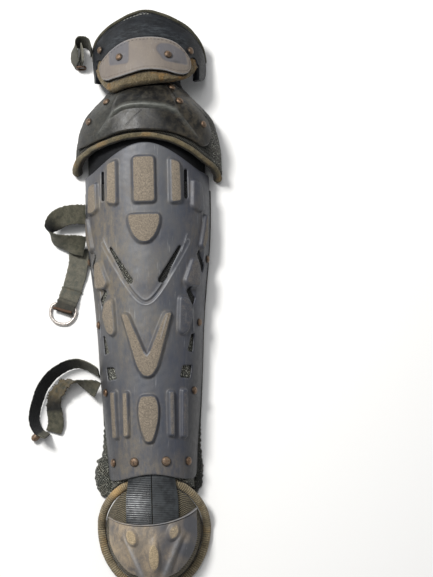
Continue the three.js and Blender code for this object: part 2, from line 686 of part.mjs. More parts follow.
function makeToeLiner() {
  const at = (lift) => (side, row) => toePoint(side, row * 2, lift);
  const rows = [0, 0.12, 0.24, 0.36, 0.5, 0.75, 1];
  return wall(at(0), at(-toeLinerThickness), steps(-0.97, 0.97, 16), rows);
}

function makeToeBinding() {
  const away = toeBindingRadius + gap;
  const points = [];
  for (const angle of steps(0, 2 * Math.PI, 32).slice(0, 32)) {
    const upper = Math.cos(angle) > 0;
    const reach = (upper ? toe.above : toe.below) + away;
    const rise = upper ? (toe.crown - toeLinerThickness / 2 - gap - toeBindingRadius) * Math.cos(angle) : 0;
    const x = (toe.halfWidth + away) * Math.sin(angle);
    points.push(new THREE.Vector3(x, toe.middle + reach * Math.cos(angle), toeBindingRadius + rise));
  }
  return tube(points, points.map(() => toeBindingRadius), 6, true);
}

// Two ribbed straps run side by side from under the shin shell to under the toe shell
function makeAnkleStrap(direction) {
  const ankleEnd = 0.06 * shin.length;
  const toeEnd = toe.middle - 2;
  const slot = 0.5;
  const bend = { from: -2, over: 30 };
  const at = (face) => (share, row) => {
    const x = direction * slot + share * ankleStrapWidth;
    const y = ankleEnd + (toeEnd - ankleEnd) * (1 - row);
    const depth = face > 0 ? 0 : strapThickness;
    const high = shinForm.point(shinForm.sideAt(x, y), y, -shellWall - gap - depth);
    const side = (Math.asin(x / (toe.halfWidth + gap)) * 2) / Math.PI;
    const cosine = Math.cos((side * Math.PI) / 2);
    const sweep = y > toe.middle ? 1 + (y - toe.middle) / (toe.above * cosine) : 0.98;
    const low = toePoint(side, sweep, gap + strapThickness - depth);
    const mixed = high.lerp(low, smooth((bend.from - y) / bend.over));
    mixed.y = y;
    return mixed;
  };
  const columns = direction < 0 ? steps(-1, 0, 4) : steps(0, 1, 4);
  return wall(at(1), at(-1), columns, steps(0, 1, 8));
}

// Hand-chosen routes of the webbing, which lies unfastened beside the guard. out and height are
// counted in webbing widths, out from the flank beside the anchor, along as a share of the form.
const upperStrapRoute = [
  { out: 0.032, along: 0.814, height: 0.52, across: [0, 1, 0] },
  { out: 0.424, along: 0.814, height: 0.68, across: [0, 1, 0] },
  { out: 0.944, along: 0.809, height: 0.76, across: [-0.1, 1, 0.1] },
  { out: 1.464, along: 0.794, height: 0.72, across: [-0.3, 0.8, 0.5] },
  { out: 1.784, along: 0.764, height: 0.68, across: [-0.2, 0.4, 0.9] },
  { out: 1.544, along: 0.736, height: 0.68, across: [0.1, 0.4, 0.9] },
  { out: 0.984, along: 0.7235, height: 0.68, across: [0.1, 0.65, 0.75] },
  { out: 0.504, along: 0.716, height: 0.68, across: [0.15, 0.9, 0.35] },
  { out: 0.064, along: 0.711, height: 0.6, across: [0.15, 1, 0.1] },
];
const tailRoute = [
  { out: 0.41, along: 0.706, height: 0.256, across: [0.94, -0.34, 0] },
  { out: 0.424, along: 0.668, height: 0.24, across: [0.96, -0.25, 0.03] },
  { out: 0.604, along: 0.616, height: 0.136, across: [0.95, -0.3, 0.04] },
  { out: 0.824, along: 0.573, height: 0.124, across: [0.93, -0.36, 0] },
  { out: 1.024, along: 0.54, height: 0.236, across: [0.93, -0.37, 0] },
  { out: 1.244, along: 0.507, height: 0.256, across: [0.93, -0.37, 0] },
];
const lowerStrapRoute = [
  { out: 0.033, along: 0.312, height: 0.82, across: [0.1, 0.3, 1] },
  { out: 0.297, along: 0.325, height: 0.72, across: [0.1, 0.3, 1] },
  { out: 0.657, along: 0.337, height: 0.58, across: [0.1, 0.35, 1] },
  { out: 1.177, along: 0.3455, height: 0.56, across: [-0.05, 0.4, 1] },
  { out: 1.977, along: 0.329, height: 0.56, across: [-0.2, 0.35, 1] },
  { out: 2.657, along: 0.289, height: 0.56, across: [-0.35, 0.25, 1] },
  { out: 3.057, along: 0.234, height: 0.56, across: [-0.4, 0.1, 1] },
  { out: 3.217, along: 0.178, height: 0.56, across: [-0.4, -0.05, 1] },
  { out: 3.017, along: 0.141, height: 0.56, across: [-0.3, -0.25, 1] },
  { out: 2.577, along: 0.1255, height: 0.56, across: [0, -0.35, 1] },
];
const returnStrapRoute = [
  { out: 2.337, along: 0.138, height: 0.128, across: [1, 0.25, 0.1] },
  { out: 2.217, along: 0.166, height: 0.18, across: [1, 0.15, 0.15] },
  { out: 2.257, along: 0.201, height: 0.28, across: [1, 0, 0.25] },
  { out: 2.257, along: 0.236, height: 0.38, across: [1, -0.2, 0.35] },
  { out: 2.017, along: 0.266, height: 0.44, across: [0.7, -0.6, 0.5] },
  { out: 1.617, along: 0.284, height: 0.48, across: [0.3, -0.6, 0.8] },
  { out: 1.177, along: 0.289, height: 0.54, across: [0.15, 0, 1] },
  { out: 0.737, along: 0.279, height: 0.6, across: [0.1, 0.5, 0.85] },
  { out: 0.337, along: 0.269, height: 0.66, across: [0, 0.9, 0.4] },
  { out: 0.1, along: 0.261, height: 0.7, across: [-0.09, 1, 0.05] },
];
const thighStrapRoute = [
  { out: 0.0, along: 0.6, height: 0.64, across: [0.1, 0.3, 1] },
  { out: 0.124, along: 0.709, height: 0.58, across: [0.05, 0.3, 1] },
  { out: 0.564, along: 0.736, height: 0.54, across: [0, 0.3, 1] },
  { out: 0.844, along: 0.682, height: 0.54, across: [0.35, 0.2, 1] },
  { out: 0.884, along: 0.573, height: 0.54, across: [0.5, 0, 1] },
  { out: 0.724, along: 0.464, height: 0.54, across: [0.4, -0.2, 1] },
];
const thighTabRoute = [
  { out: 0.524, along: 0.694, height: 0.54, across: [0.1, 0, 1] },
  { out: 0.524, along: 0.591, height: 0.54, across: [0.3, 0, 1] },
  { out: 0.504, along: 0.473, height: 0.54, across: [0.3, 0, 1] },
];
const buckleLoop = [
  { out: 1.724, along: 0.535, height: 0.096 },
  { out: 0.644, along: 0.52, height: 0.096 },
  { out: 0.664, along: 0.495, height: 0.096 },
  { out: 1.024, along: 0.4735, height: 0.096 },
  { out: 1.544, along: 0.477, height: 0.096 },
  { out: 1.844, along: 0.5, height: 0.096 },
];
const hookLoop = [
  { out: 0.724, along: 0.445, height: 0.12 },
  { out: 0.384, along: 0.445, height: 0.12 },
  { out: 0.384, along: 0.445, height: 0.48 },
  { out: 0.724, along: 0.445, height: 0.48 },
];
const snapPlace = { out: 3.197, along: 0.125, height: 0.24 };

// A row's place beside the left flank that a form has at the anchor
function besideFlank(form, anchor) {
  const flank = form.point(-1, form.yAt(anchor), 0).x;
  return (row) => new THREE.Vector3(
    flank - row.out * webbing.width,
    form.yAt(row.along),
    row.height * webbing.width,
  );
}
const besideUpper = besideFlank(shinForm, 0.814);
const besideLower = besideFlank(shinForm, 0.312);
const besideThigh = besideFlank(thighForm, 0.6);

// A wire loop bent in its own plane, from corner points and a wire radius
function wireLoop(corners, wireRadius, sides = 5) {
  const curve = new THREE.CatmullRomCurve3(corners, true, 'catmullrom', 0.35);
  const points = steps(0, 1, 16).slice(0, 16).map((t) => curve.getPoint(t));
  return tube(points, points.map(() => wireRadius), sides, true);
}

const buckleWireRadius = 2;
const hookWireRadius = 1.4;
const snap = { radius: 4.4, length: 3, turn: -0.857 };

function makeSnap() {
  const body = new THREE.CapsuleGeometry(snap.radius, snap.length, 2, 8);
  body.deleteAttribute('uv');
  body.deleteAttribute('normal');
  body.rotateZ(snap.turn);
  body.translate(...besideLower(snapPlace).toArray());
  return mergeVertices(body);
}

function rivetGeometry() {
  const { radius, height } = rivetHead;
  const profile = [[0, 0], [radius, 0], [radius * 0.8, height * 0.75], [0, height]];
  const lathe = new THREE.LatheGeometry(profile.map(([r, h]) => new THREE.Vector2(r, h)), 8);
  lathe.deleteAttribute('uv');
  lathe.deleteAttribute('normal');
  return mergeVertices(lathe, 1e-4);
}

// Colours and finishes
const finishes = {
  shell: { color: 0x6b6c76, roughness: 0.55, metalness: 0 },
  kneeShell: { color: 0x3a3b3d, roughness: 0.45, metalness: 0 },
  thighPad: { color: 0x2c3036, roughness: 0.6, metalness: 0 },
  thighPlate: { color: 0x7c746f, roughness: 0.6, metalness: 0 },
  mesh: { color: 0x464b45, roughness: 0.95, metalness: 0 },
  binding: { color: 0x7f6f52, roughness: 0.9, metalness: 0 },
  blackStrap: { color: 0x24272b, roughness: 0.4, metalness: 0 },
  webbing: { color: 0x565a4b, roughness: 0.9, metalness: 0 },
  rivet: { color: 0x8c6248, roughness: 0.45, metalness: 0.8 },
  steel: { color: 0x9a9490, roughness: 0.4, metalness: 0.9 },
};

const guard = new THREE.Group();
guard.name = 'leg_guard';

function addPiece(name, geometry, finish) {
  geometry.computeVertexNormals();
  const material = new THREE.MeshStandardMaterial(finishes[finish]);
  const mesh = new THREE.Mesh(geometry, material);
  mesh.name = name;
  guard.add(mesh);
  return mesh;
}

// Rivets sit on a form's skin at a side share and a place along it, heads square to the skin
function addRivets(prefix, form, seats, lift) {
  const dome = (rivetHead.radius ** 2) / (2 * form.section(form.yAt(seats[0].along)).rise) / 2;
  const seatLift = lift + gap / 2 + dome;
  seats.forEach((seat, i) => {
    const mesh = addPiece(`${prefix}_${i + 1}`, rivetGeometry(), 'rivet');
    const y = form.yAt(seat.along);
    const foot = form.point(seat.side, y, seat.lift ?? seatLift);
    const ahead = form.point(seat.side, y + 4, seatLift).sub(form.point(seat.side, y - 4, seatLift));
    const across = form.point(seat.side + 0.02, y, seatLift).sub(form.point(seat.side - 0.02, y, seatLift));
    mesh.position.copy(foot);
    mesh.quaternion.setFromUnitVectors(new THREE.Vector3(0, 1, 0), across.cross(ahead).normalize());
  });
}

const shinRivets = [
  { side: -0.64, along: 0.038 },
  { side: -0.235, along: 0.038 },
  { side: 0.215, along: 0.038 },
  { side: 0.6, along: 0.038 },
  { side: -0.69, along: 0.249 },
  { side: 0.67, along: 0.249 },
  { side: -0.76, along: 0.457 },
  { side: 0.74, along: 0.457 },
  { side: -0.9, along: 0.658 },
  { side: 0.88, along: 0.658 },
];
const kneeRivets = [
  { side: -0.404, along: 0.723 },
  { side: 0.343, along: 0.699 },
  { side: -0.558, along: 0.542 },
  { side: 0.547, along: 0.48 },
  { side: 0.344, along: 0.872, lift: kneeShellLift + shellWall + 3 * gap },
];
const thighRivets = [
  { side: -0.294, along: 0.349, lift: thighPlateWall + 3 * gap },
  { side: 0.221, along: 0.354, lift: thighPlateWall + 3 * gap },
  { side: -0.607, along: 0.534 },
  { side: 0.521, along: 0.47 },
];

addPiece('shin_shell', makeShinShell(), 'shell');
addPiece('shin_liner', makeShinLiner(), 'mesh');
addRivets('shin_rivet', shinForm, shinRivets, 0);
addPiece('knee_link', makeLink(
  { form: shinForm, lift: -shellWall - 2 * gap },
  { form: kneeForm, lift: -kneeLinerThickness - 2 * gap, reach: 0.78 },
  shinLinerTop + 1,
  kneeForm.yAt(0.558),
  0.9,
  0.6,
  14,
), 'blackStrap');
addPiece('knee_liner', makeKneeLiner(), 'mesh');
addPiece('knee_hem', makeKneeHem(), 'binding');
addPiece('knee_shell', makeKneeShell(), 'kneeShell');
addRivets('knee_rivet', kneeForm, kneeRivets, kneeShellLift + shellWall);
addPiece('thigh_link', makeLink(
  { form: kneeForm, lift: -linkThickness },
  { form: thighForm, lift: -thighPadThickness - 4 * gap, reach: 0.45 },
  kneeLinerTop + 1.5 * gap,
  thighForm.yAt(0.37),
  0.75,
  0.02,
  12,
), 'blackStrap');
addPiece('thigh_pad', makeThighPad(), 'thighPad');
addPiece('thigh_piping', makeThighPiping(), 'binding');
addPiece('thigh_bumper', makeThighBumper(), 'binding');
addPiece('thigh_plate', makeThighPlate(), 'thighPlate');
addRivets('thigh_rivet', thighForm, thighRivets, 0);
addPiece('toe_shell', makeToeShell(), 'shell');
addPiece('toe_piping', makeToePiping(), 'binding');
addPiece('toe_liner', makeToeLiner(), 'mesh');
addPiece('toe_binding', makeToeBinding(), 'binding');
addPiece('ankle_strap_left', makeAnkleStrap(-1), 'blackStrap');
addPiece('ankle_strap_right', makeAnkleStrap(1), 'blackStrap');
const { width: strapWidth, thickness: strapGauge } = webbing;
addPiece('calf_strap_upper', band(upperStrapRoute, besideUpper, strapWidth, strapGauge), 'webbing');
addPiece('calf_strap_tail', band(tailRoute, besideUpper, strapWidth, strapGauge), 'webbing');
addPiece('calf_strap_lower', band(lowerStrapRoute, besideLower, strapWidth, strapGauge), 'webbing');
addPiece('calf_strap_return', band(returnStrapRoute, besideLower, strapWidth * 0.8, strapGauge), 'webbing');
addPiece('thigh_strap', band(thighStrapRoute, besideThigh, strapWidth, strapGauge), 'webbing');
addPiece('thigh_strap_tab', band(thighTabRoute, besideThigh, strapWidth, strapGauge), 'webbing');
addPiece('calf_buckle', wireLoop(buckleLoop.map(besideUpper), buckleWireRadius), 'steel');
addPiece('calf_snap', makeSnap(), 'rivet');
addPiece('thigh_hook', wireLoop(hookLoop.map(besideThigh), hookWireRadius), 'steel');

// The finished guard stands on Z = 0 with its box centred on the origin
guard.updateMatrixWorld(true);
const box = new THREE.Box3().setFromObject(guard, true);
const centre = box.getCenter(new THREE.Vector3());
guard.position.set(-centre.x, -centre.y, -box.min.z);

export default guard;
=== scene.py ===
"""A worn catcher's leg guard that lies unfastened on its back. Shape lengths are millimetres."""
import math

import bpy
import numpy as np
from mathutils import Matrix, Vector


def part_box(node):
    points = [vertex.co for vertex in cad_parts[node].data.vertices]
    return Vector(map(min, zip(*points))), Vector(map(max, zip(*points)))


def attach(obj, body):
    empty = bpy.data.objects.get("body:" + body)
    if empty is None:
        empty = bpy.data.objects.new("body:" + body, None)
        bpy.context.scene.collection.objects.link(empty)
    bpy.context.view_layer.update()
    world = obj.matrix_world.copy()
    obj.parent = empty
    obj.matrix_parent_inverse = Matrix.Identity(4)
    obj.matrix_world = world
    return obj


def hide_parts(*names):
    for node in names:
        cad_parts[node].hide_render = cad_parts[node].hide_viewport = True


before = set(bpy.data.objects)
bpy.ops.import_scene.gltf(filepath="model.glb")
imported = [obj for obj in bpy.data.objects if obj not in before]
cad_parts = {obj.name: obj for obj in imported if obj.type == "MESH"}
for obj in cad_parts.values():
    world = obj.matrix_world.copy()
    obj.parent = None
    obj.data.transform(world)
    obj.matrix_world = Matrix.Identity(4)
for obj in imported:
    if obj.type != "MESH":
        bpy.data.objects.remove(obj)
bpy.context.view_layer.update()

# Driving sizes, the same as the solids
GAP = 0.4
SHELL_WALL = 3.0
SHIN_LENGTH = 398.0
SHIN_HALF_WIDTH = 78.0
SHIN_GIRTH = SHIN_HALF_WIDTH * 1.36
LINER_THICKNESS = 6.0
FOOT_LIP = 1.5
RIB_HEIGHT = 5.0
STRAP_THICKNESS = 2.4
ANKLE_STRAP_WIDTH = 29.5
ANKLE_STRAP_SPACE = 0.5
WEBBING_WIDTH = 25.0
WEBBING_THICKNESS = 2.0
RIVET_RADIUS = 5.6
RIVET_HEIGHT = 2.6
KNEE_START = SHIN_LENGTH - 33
KNEE_LENGTH = 120.0
KNEE_HALF_WIDTH = 92.0
KNEE_LINER_THICKNESS = 7.0
KNEE_HEM_RADIUS = 3.8
KNEE_SHELL_LIFT = 3.5 * GAP
THIGH_START = KNEE_START + KNEE_LENGTH - 17
THIGH_LENGTH = 110.0
THIGH_HALF_WIDTH = 73.5
THIGH_PAD_THICKNESS = 9.0
THIGH_PLATE_WALL = 3.0
THIGH_PIPING_RADIUS = 2.0
TOE_LINER_THICKNESS = 7.0
TOE_BINDING_RADIUS = 5.0
TOE_PIPING_RADIUS = 1.35
LINK_GAUGE = 2.0
TOE_SHELL_LIFT = STRAP_THICKNESS + 2 * GAP

shell_low, shell_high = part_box("shin_shell")
GUARD_SHIFT = np.array([
    (shell_low[0] + shell_high[0]) * 500,
    shell_low[1] * 1000 + 0.015 * SHIN_LENGTH,
    0.0,
])


def smooth(t):
    t = np.clip(t, 0.0, 1.0)
    return t * t * (3 - 2 * t)


def bell(distance, spread):
    return np.exp(-(distance / spread) ** 2)


def near(distance, reach):
    """1 at no distance, falling evenly to 0 at the reach."""
    return np.clip(1 - distance / reach, 0, 1)


def table_value(keys, values, at):
    """Smooth reading of a table between its rows."""
    keys = np.asarray(keys, float)
    values = np.asarray(values, float)
    at = np.asarray(at, float)
    i = np.clip(np.searchsorted(keys, at, side="left") - 1, 0, len(keys) - 2)
    slopes = np.diff(values) / np.diff(keys)
    tangents = np.concatenate([slopes[:1], (slopes[1:] + slopes[:-1]) / 2, slopes[-1:]])
    span = keys[i + 1] - keys[i]
    t = np.clip((at - keys[i]) / span, 0, 1)
    t2 = t * t
    t3 = t2 * t
    return ((2 * t3 - 3 * t2 + 1) * values[i] + (t3 - 2 * t2 + t) * span * tangents[i]
            + (3 * t2 - 2 * t3) * values[i + 1] + (t3 - t2) * span * tangents[i + 1])


def ripple(u, v, wavelength, seed, waves=7):
    """Soft seeded unevenness between about -1 and 1."""
    rng = np.random.default_rng(seed)
    total = np.zeros(np.broadcast(u, v).shape)
    for _ in range(waves):
        turn = rng.uniform(0, 2 * math.pi)
        length = wavelength * rng.uniform(0.7, 1.5)
        phase = rng.uniform(0, 2 * math.pi)
        total = total + np.sin(2 * math.pi * (u * math.cos(turn) + v * math.sin(turn)) / length + phase)
    return total / math.sqrt(waves * 2)


class Arch:
    """Half an ellipse across, swept along Y. side runs from -1 to 1 over the arch."""

    def __init__(self, half_width, crown, edge, start, length, shift, rows):
        self.half_width = half_width
        self.crown = crown
        self.edge = edge
        self.start = start
        self.length = length
        self.shift = shift
        self.rows = np.array(rows)

    def section(self, y):
        along = (np.asarray(y, float) - self.start) / self.length
        width = self.half_width * table_value(self.rows[:, 0], self.rows[:, 1], along)
        rise = self.crown * table_value(self.rows[:, 0], self.rows[:, 2], along) - self.edge
        return width, rise

    def point(self, side, y, lift):
        side, y, lift = np.broadcast_arrays(np.asarray(side, float), np.asarray(y, float),
                                            np.asarray(lift, float))
        width, rise = self.section(y)
        angle = side * math.pi / 2
        nx = np.sin(angle) / width
        nz = np.cos(angle) / rise
        size = np.hypot(nx, nz)
        x = self.shift + width * np.sin(angle) + nx / size * lift
        z = self.edge + rise * np.cos(angle) + nz / size * lift
        return np.stack([x, y, z], axis=-1)

    def side_at(self, x, y):
        share = np.clip((x - self.shift) / self.section(y)[0], -1, 1)
        return np.arcsin(share) * 2 / math.pi


# Each row: share of the length, share of the half width, share of the crown
shin_form = Arch(SHIN_HALF_WIDTH, 76, 8, 0, SHIN_LENGTH, 0, [
    (0.0, 0.679, 0.763), (0.063, 0.699, 0.776), (0.291, 0.795, 0.825),
    (0.477, 0.853, 0.88), (0.754, 0.981, 0.955), (1.0, 1.0, 1.0),
])
knee_form = Arch(KNEE_HALF_WIDTH, 85, 3, KNEE_START, KNEE_LENGTH, 2, [
    (0.0, 1.01, 0.99), (0.33, 1.0, 0.995), (0.5, 0.957, 1.0), (0.633, 0.902, 0.976),
    (0.767, 0.77, 0.9), (0.875, 0.63, 0.785), (1.0, 0.53, 0.67),
])
thigh_form = Arch(THIGH_HALF_WIDTH, 84, 4, THIGH_START, THIGH_LENGTH, 5.5, [
    (0.0, 0.95, 1.0), (0.3, 0.98, 0.95), (0.6, 1.0, 0.83), (1.0, 0.97, 0.6),
])

TOE_MIDDLE = -62.0
TOE_HALF_WIDTH = 58.0
TOE_BELOW = 68.0
TOE_ABOVE = 51.6
TOE_CROWN = 45.0
TOE_EDGE = 4.0
TOE_RIM_HEIGHT = 0.56
TOE_RIM_SIDE = math.acos(TOE_RIM_HEIGHT) * 2 / math.pi
TOE_SHELL_SIDE = TOE_RIM_SIDE * 0.985
# The toe shell's skin from its rim to its upper edge, and its girth for each side share
TOE_SHELL_SPAN = 78
TOE_GIRTH = math.pi / 2 * TOE_HALF_WIDTH


def spread(form, ends, low_edge, high_edge, rows, columns):
    """Grids over a form between two edges: shares of side and row, x along the girth, y, and both edges."""
    side, row = np.meshgrid(np.linspace(*ends, columns), np.linspace(0, 1, rows))
    low, high = low_edge(side), high_edge(side)
    return side, row, side * form.half_width * math.pi / 2, low + (high - low) * row, low, high


def toe_point(side, sweep, lift):
    """A flattened dome: sweep 0 is its rim, 1 its widest line, 2 its upper edge."""
    side, sweep, lift = np.broadcast_arrays(np.asarray(side, float), np.asarray(sweep, float),
                                            np.asarray(lift, float))
    angle = side * math.pi / 2
    rise = (TOE_CROWN + lift) * np.cos(angle)
    fall = np.clip(sweep, None, 1) * math.pi / 2
    y_low = TOE_MIDDLE - (TOE_BELOW + lift) * np.cos(angle) * np.cos(fall)
    y_high = TOE_MIDDLE + TOE_ABOVE * np.cos(angle) * (sweep - 1)
    return np.stack([
        (TOE_HALF_WIDTH + lift) * np.sin(angle),
        np.where(sweep <= 1, y_low, y_high),
        TOE_EDGE + rise * np.sin(fall),
    ], axis=-1)


# Mesh building
def make_object(name, points, faces, values=None):
    """A mesh object from millimetre points, with float attributes for its materials."""
    mesh = bpy.data.meshes.new(name)
    places = (np.asarray(points, float).reshape(-1, 3) + GUARD_SHIFT) * 0.001
    mesh.from_pydata(places.tolist(), [], faces)
    for key, data in (values or {}).items():
        layer = mesh.attributes.new(key, "FLOAT", "POINT")
        layer.data.foreach_set("value", np.asarray(data, np.float32).ravel())
    mesh.polygons.foreach_set("use_smooth", np.ones(len(mesh.polygons), bool))
    mesh.update()
    obj = bpy.data.objects.new(name, mesh)
    bpy.context.collection.objects.link(obj)
    return obj


def dress(obj, slot, material, *nodes):
    """Give a piece its material, its body and the solids that it stands for. The slot is not used."""
    obj.data.materials.append(material)
    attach(obj, "root")
    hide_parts(*nodes)
    return obj


def grid_faces(rows, columns, keep=None):
    index = np.arange(rows * columns).reshape(rows, columns)
    quads = np.stack([index[:-1, :-1], index[:-1, 1:], index[1:, 1:], index[1:, :-1]], axis=-1)
    return quads[keep] if keep is not None else quads.reshape(-1, 4)


def ring_faces(count, sides, closed=False):
    """Quads between rings of points that follow each other."""
    index = np.arange(count * sides).reshape(count, sides)
    beside = np.roll(index, -1, axis=1)
    quads = np.stack([index, beside, np.roll(beside, -1, axis=0), np.roll(index, -1, axis=0)], axis=-1)
    return (quads if closed else quads[:-1]).reshape(-1, 4)


def slab(name, outer, inner, values):
    """A closed wall between two grids of points."""
    rows, columns = outer.shape[:2]
    count = rows * columns
    faces = grid_faces(rows, columns)
    back = faces[:, ::-1] + count
    index = np.arange(count).reshape(rows, columns)
    border = np.concatenate([index[0, :], index[1:, -1], index[-1, -2::-1], index[-2:0:-1, 0]])
    after = np.roll(border, -1)
    rim = np.stack([border + count, after + count, after, border], axis=-1)
    both = {}
    for key, value in values.items():
        front, behind = value if isinstance(value, tuple) else (value, value)
        both[key] = np.concatenate([np.ravel(front), np.ravel(behind)])
    both["inner"] = np.concatenate([np.zeros(count), np.ones(count)])
    points = np.concatenate([outer.reshape(-1, 3), inner.reshape(-1, 3)])
    return make_object(name, points, np.concatenate([faces, back, rim]).tolist(), both)


def rail(points, closed=False):
    """Unit vectors along, up and across for a row of points, and the run length at each."""
    if closed:
        ahead = np.roll(points, -1, axis=0) - np.roll(points, 1, axis=0)
    else:
        ahead = np.gradient(points, axis=0)
    ahead /= np.linalg.norm(ahead, axis=1)[:, None]
    up = np.array([0, 0, 1.0]) - ahead * ahead[:, 2:3]
    up /= np.linalg.norm(up, axis=1)[:, None]
    across = np.cross(ahead, up)
    run = np.concatenate([[0], np.cumsum(np.linalg.norm(np.diff(points, axis=0), axis=1))])
    return ahead, up, across, run


def tube(name, points, radii, sides, closed=False, bumpiness=0.0, fuzz=0.0, seed=1, shade=None, warm_highlight=None):
    """A round roll along points, with rounded ends unless it is a closed loop."""
    points = np.asarray(points, float)
    radii = np.broadcast_to(np.asarray(radii, float), len(points)).copy()
    ahead, up, across, run = rail(points, closed)
    if not closed:
        caps = [0.0, 0.5]
        head = [points[0] - ahead[0] * radii[0] * 0.4 * (1 - c) for c in caps]
        tail = [points[-1] + ahead[-1] * radii[-1] * 0.4 * (1 - c) for c in reversed(caps)]
        points = np.concatenate([head, points, tail])
        taper = np.array([0.05, 0.75])
        radii = np.concatenate([radii[0] * taper, radii, radii[-1] * taper[::-1]])
        repeat = [0, 0] + list(range(len(up))) + [len(up) - 1] * 2
        up, across, run = up[repeat], across[repeat], run[repeat]
    turns = np.linspace(0, 2 * math.pi, sides, endpoint=False)
    uneven = 1 + bumpiness * ripple(run[:, None], turns[None, :] * 4, 16, seed)
    uneven = uneven + fuzz * ripple(run[:, None], turns[None, :] * 4, 2.6, seed + 1, 9)
    reach = radii[:, None] * uneven
    rings = (points[:, None] + up[:, None] * (np.cos(turns)[None, :] * reach)[..., None]
             + across[:, None] * (np.sin(turns)[None, :] * reach)[..., None])
    count = len(points)
    faces = ring_faces(count, sides, closed).tolist()
    if not closed:
        faces += [list(range(sides))[::-1], list(range((count - 1) * sides, count * sides))]
    along = np.repeat(run, sides)
    around = (turns[None, :] * radii[:, None]).ravel()
    values = {"along": along, "across": around}
    if shade is not None:
        values["shade"] = np.broadcast_to(shade(turns)[None, :], reach.shape)
    if warm_highlight is not None:
        values["warm_highlight"] = np.repeat(warm_highlight, sides)
    return make_object(name, rings, faces, values)


def spline(stations, count):
    """Centripetal Catmull-Rom curve through the stations."""
    p = np.asarray(stations, float)
    p = np.concatenate([[2 * p[0] - p[1]], p, [2 * p[-1] - p[-2]]])
    result = []
    for t in np.linspace(0, len(p) - 3, count):
        i = min(int(t), len(p) - 4)
        w = t - i
        x0, x1, x2, x3 = p[i:i + 4]
        d0, d1, d2 = [max(np.linalg.norm(b - a) ** 0.5, 1e-4) for a, b in ((x0, x1), (x1, x2), (x2, x3))]
        t1 = ((x1 - x0) / d0 - (x2 - x0) / (d0 + d1) + (x2 - x1) / d1) * d1
        t2 = ((x2 - x1) / d1 - (x3 - x1) / (d1 + d2) + (x3 - x2) / d2) * d1
        square, cube = 3 * (x2 - x1) - 2 * t1 - t2, 2 * (x1 - x2) + t1 + t2
        result.append(x1 + t1 * w + square * w ** 2 + cube * w ** 3)
    return np.array(result)


def band(name, route, width, thickness, seed, front_shade, back_shade, fray, lumps=0.0):
    """Flat webbing along a route whose rows hold a place and the direction of its width.

    The shades and the fray are tables of (share of the run, amount) pairs.
    """
    places = spline([row[0] for row in route], (len(route) - 1) * 16 + 1)
    widths = spline([row[1] for row in route], len(places))
    ahead = np.gradient(places, axis=0)
    ahead /= np.linalg.norm(ahead, axis=1)[:, None]
    across = widths - ahead * np.sum(widths * ahead, axis=1)[:, None]
    across /= np.linalg.norm(across, axis=1)[:, None]
    up = np.cross(ahead, across)
    run = np.concatenate([[0], np.cumsum(np.linalg.norm(np.diff(places, axis=0), axis=1))])
    share = run / run[-1]

    def along_run(table):
        return np.interp(share, [row[0] for row in table], [row[1] for row in table])

    ragged = along_run(fray)[:, None]
    shares = np.linspace(-1, 1, 17)
    reach = shares[None, :] * width / 2
    threads = ripple(run[:, None], shares[None, :] * 9, 4, seed)
    threads = threads + 0.7 * ripple(run[:, None], shares[None, :], 1.6, seed + 2)
    reach = reach + (np.abs(shares) > 0.98)[None, :] * np.sign(shares)[None, :] * ragged * (threads - 0.3)
    wave = 0.35 * ripple(run[:, None], reach, 22, seed + 1)
    wave = wave + lumps * ragged * ripple(run[:, None], reach, 9, seed + 3)
    centre = places[:, None] + across[:, None] * reach[..., None] + up[:, None] * wave[..., None]
    half = thickness / 2 * (1 - 0.45 * np.abs(shares) ** 6)[None, :, None]
    cross, along = np.meshgrid(shares * width / 2, run)
    flat = np.ones(len(shares))
    shades = tuple(along_run(table)[:, None] * flat for table in (front_shade, back_shade))
    return slab(name, centre - up[:, None] * half, centre + up[:, None] * half,
                {"along": along, "across": cross, "shade": shades, "dust": ragged * flat / 3})


# How far from an outline its distance is worked out
FIELD_REACH = 12.0


def softened(corners, radius, arc_steps=6):
    """An outline with its corners rounded."""
    corners = np.asarray(corners, float)
    result = []
    for i, corner in enumerate(corners):
        back = corners[i - 1] - corner
        on = corners[(i + 1) % len(corners)] - corner
        back_length, on_length = np.linalg.norm(back), np.linalg.norm(on)
        reach = min(radius, back_length * 0.45, on_length * 0.45)
        first = corner + back / back_length * reach
        last = corner + on / on_length * reach
        for t in np.linspace(0, 1, arc_steps + 1):
            result.append((1 - t) ** 2 * first + 2 * t * (1 - t) * corner + t ** 2 * last)
    return np.array(result)


def outline_distance(x, y, outline, closed=True):
    """Signed distance to an outline, negative inside, and the nearest point on it."""
    reach = FIELD_REACH
    distance = np.full(x.shape, reach)
    near_x, near_y = x.copy(), y.copy()
    low, high = outline.min(axis=0) - reach, outline.max(axis=0) + reach
    box = (x > low[0]) & (x < high[0]) & (y > low[1]) & (y < high[1])
    px, py = x[box], y[box]
    best = np.full(px.shape, 1e9)
    best_x, best_y = px.copy(), py.copy()
    inside = np.zeros(px.shape, bool)
    ends = np.roll(outline, -1, axis=0) if closed else outline[1:]
    for (ax, ay), (bx, by) in zip(outline, ends):
        dx, dy = bx - ax, by - ay
        t = np.clip(((px - ax) * dx + (py - ay) * dy) / (dx * dx + dy * dy + 1e-12), 0, 1)
        qx, qy = ax + t * dx, ay + t * dy
        square = (px - qx) ** 2 + (py - qy) ** 2
        closer = square < best
        best = np.where(closer, square, best)
        best_x = np.where(closer, qx, best_x)
        best_y = np.where(closer, qy, best_y)
        if closed and dy:
            inside ^= ((ay > py) != (by > py)) & (px < dx * (py - ay) / dy + ax)
    distance[box] = np.minimum(np.sqrt(best), reach) * np.where(inside, -1, 1)
    near_x[box], near_y[box] = best_x, best_y
    return distance, near_x, near_y


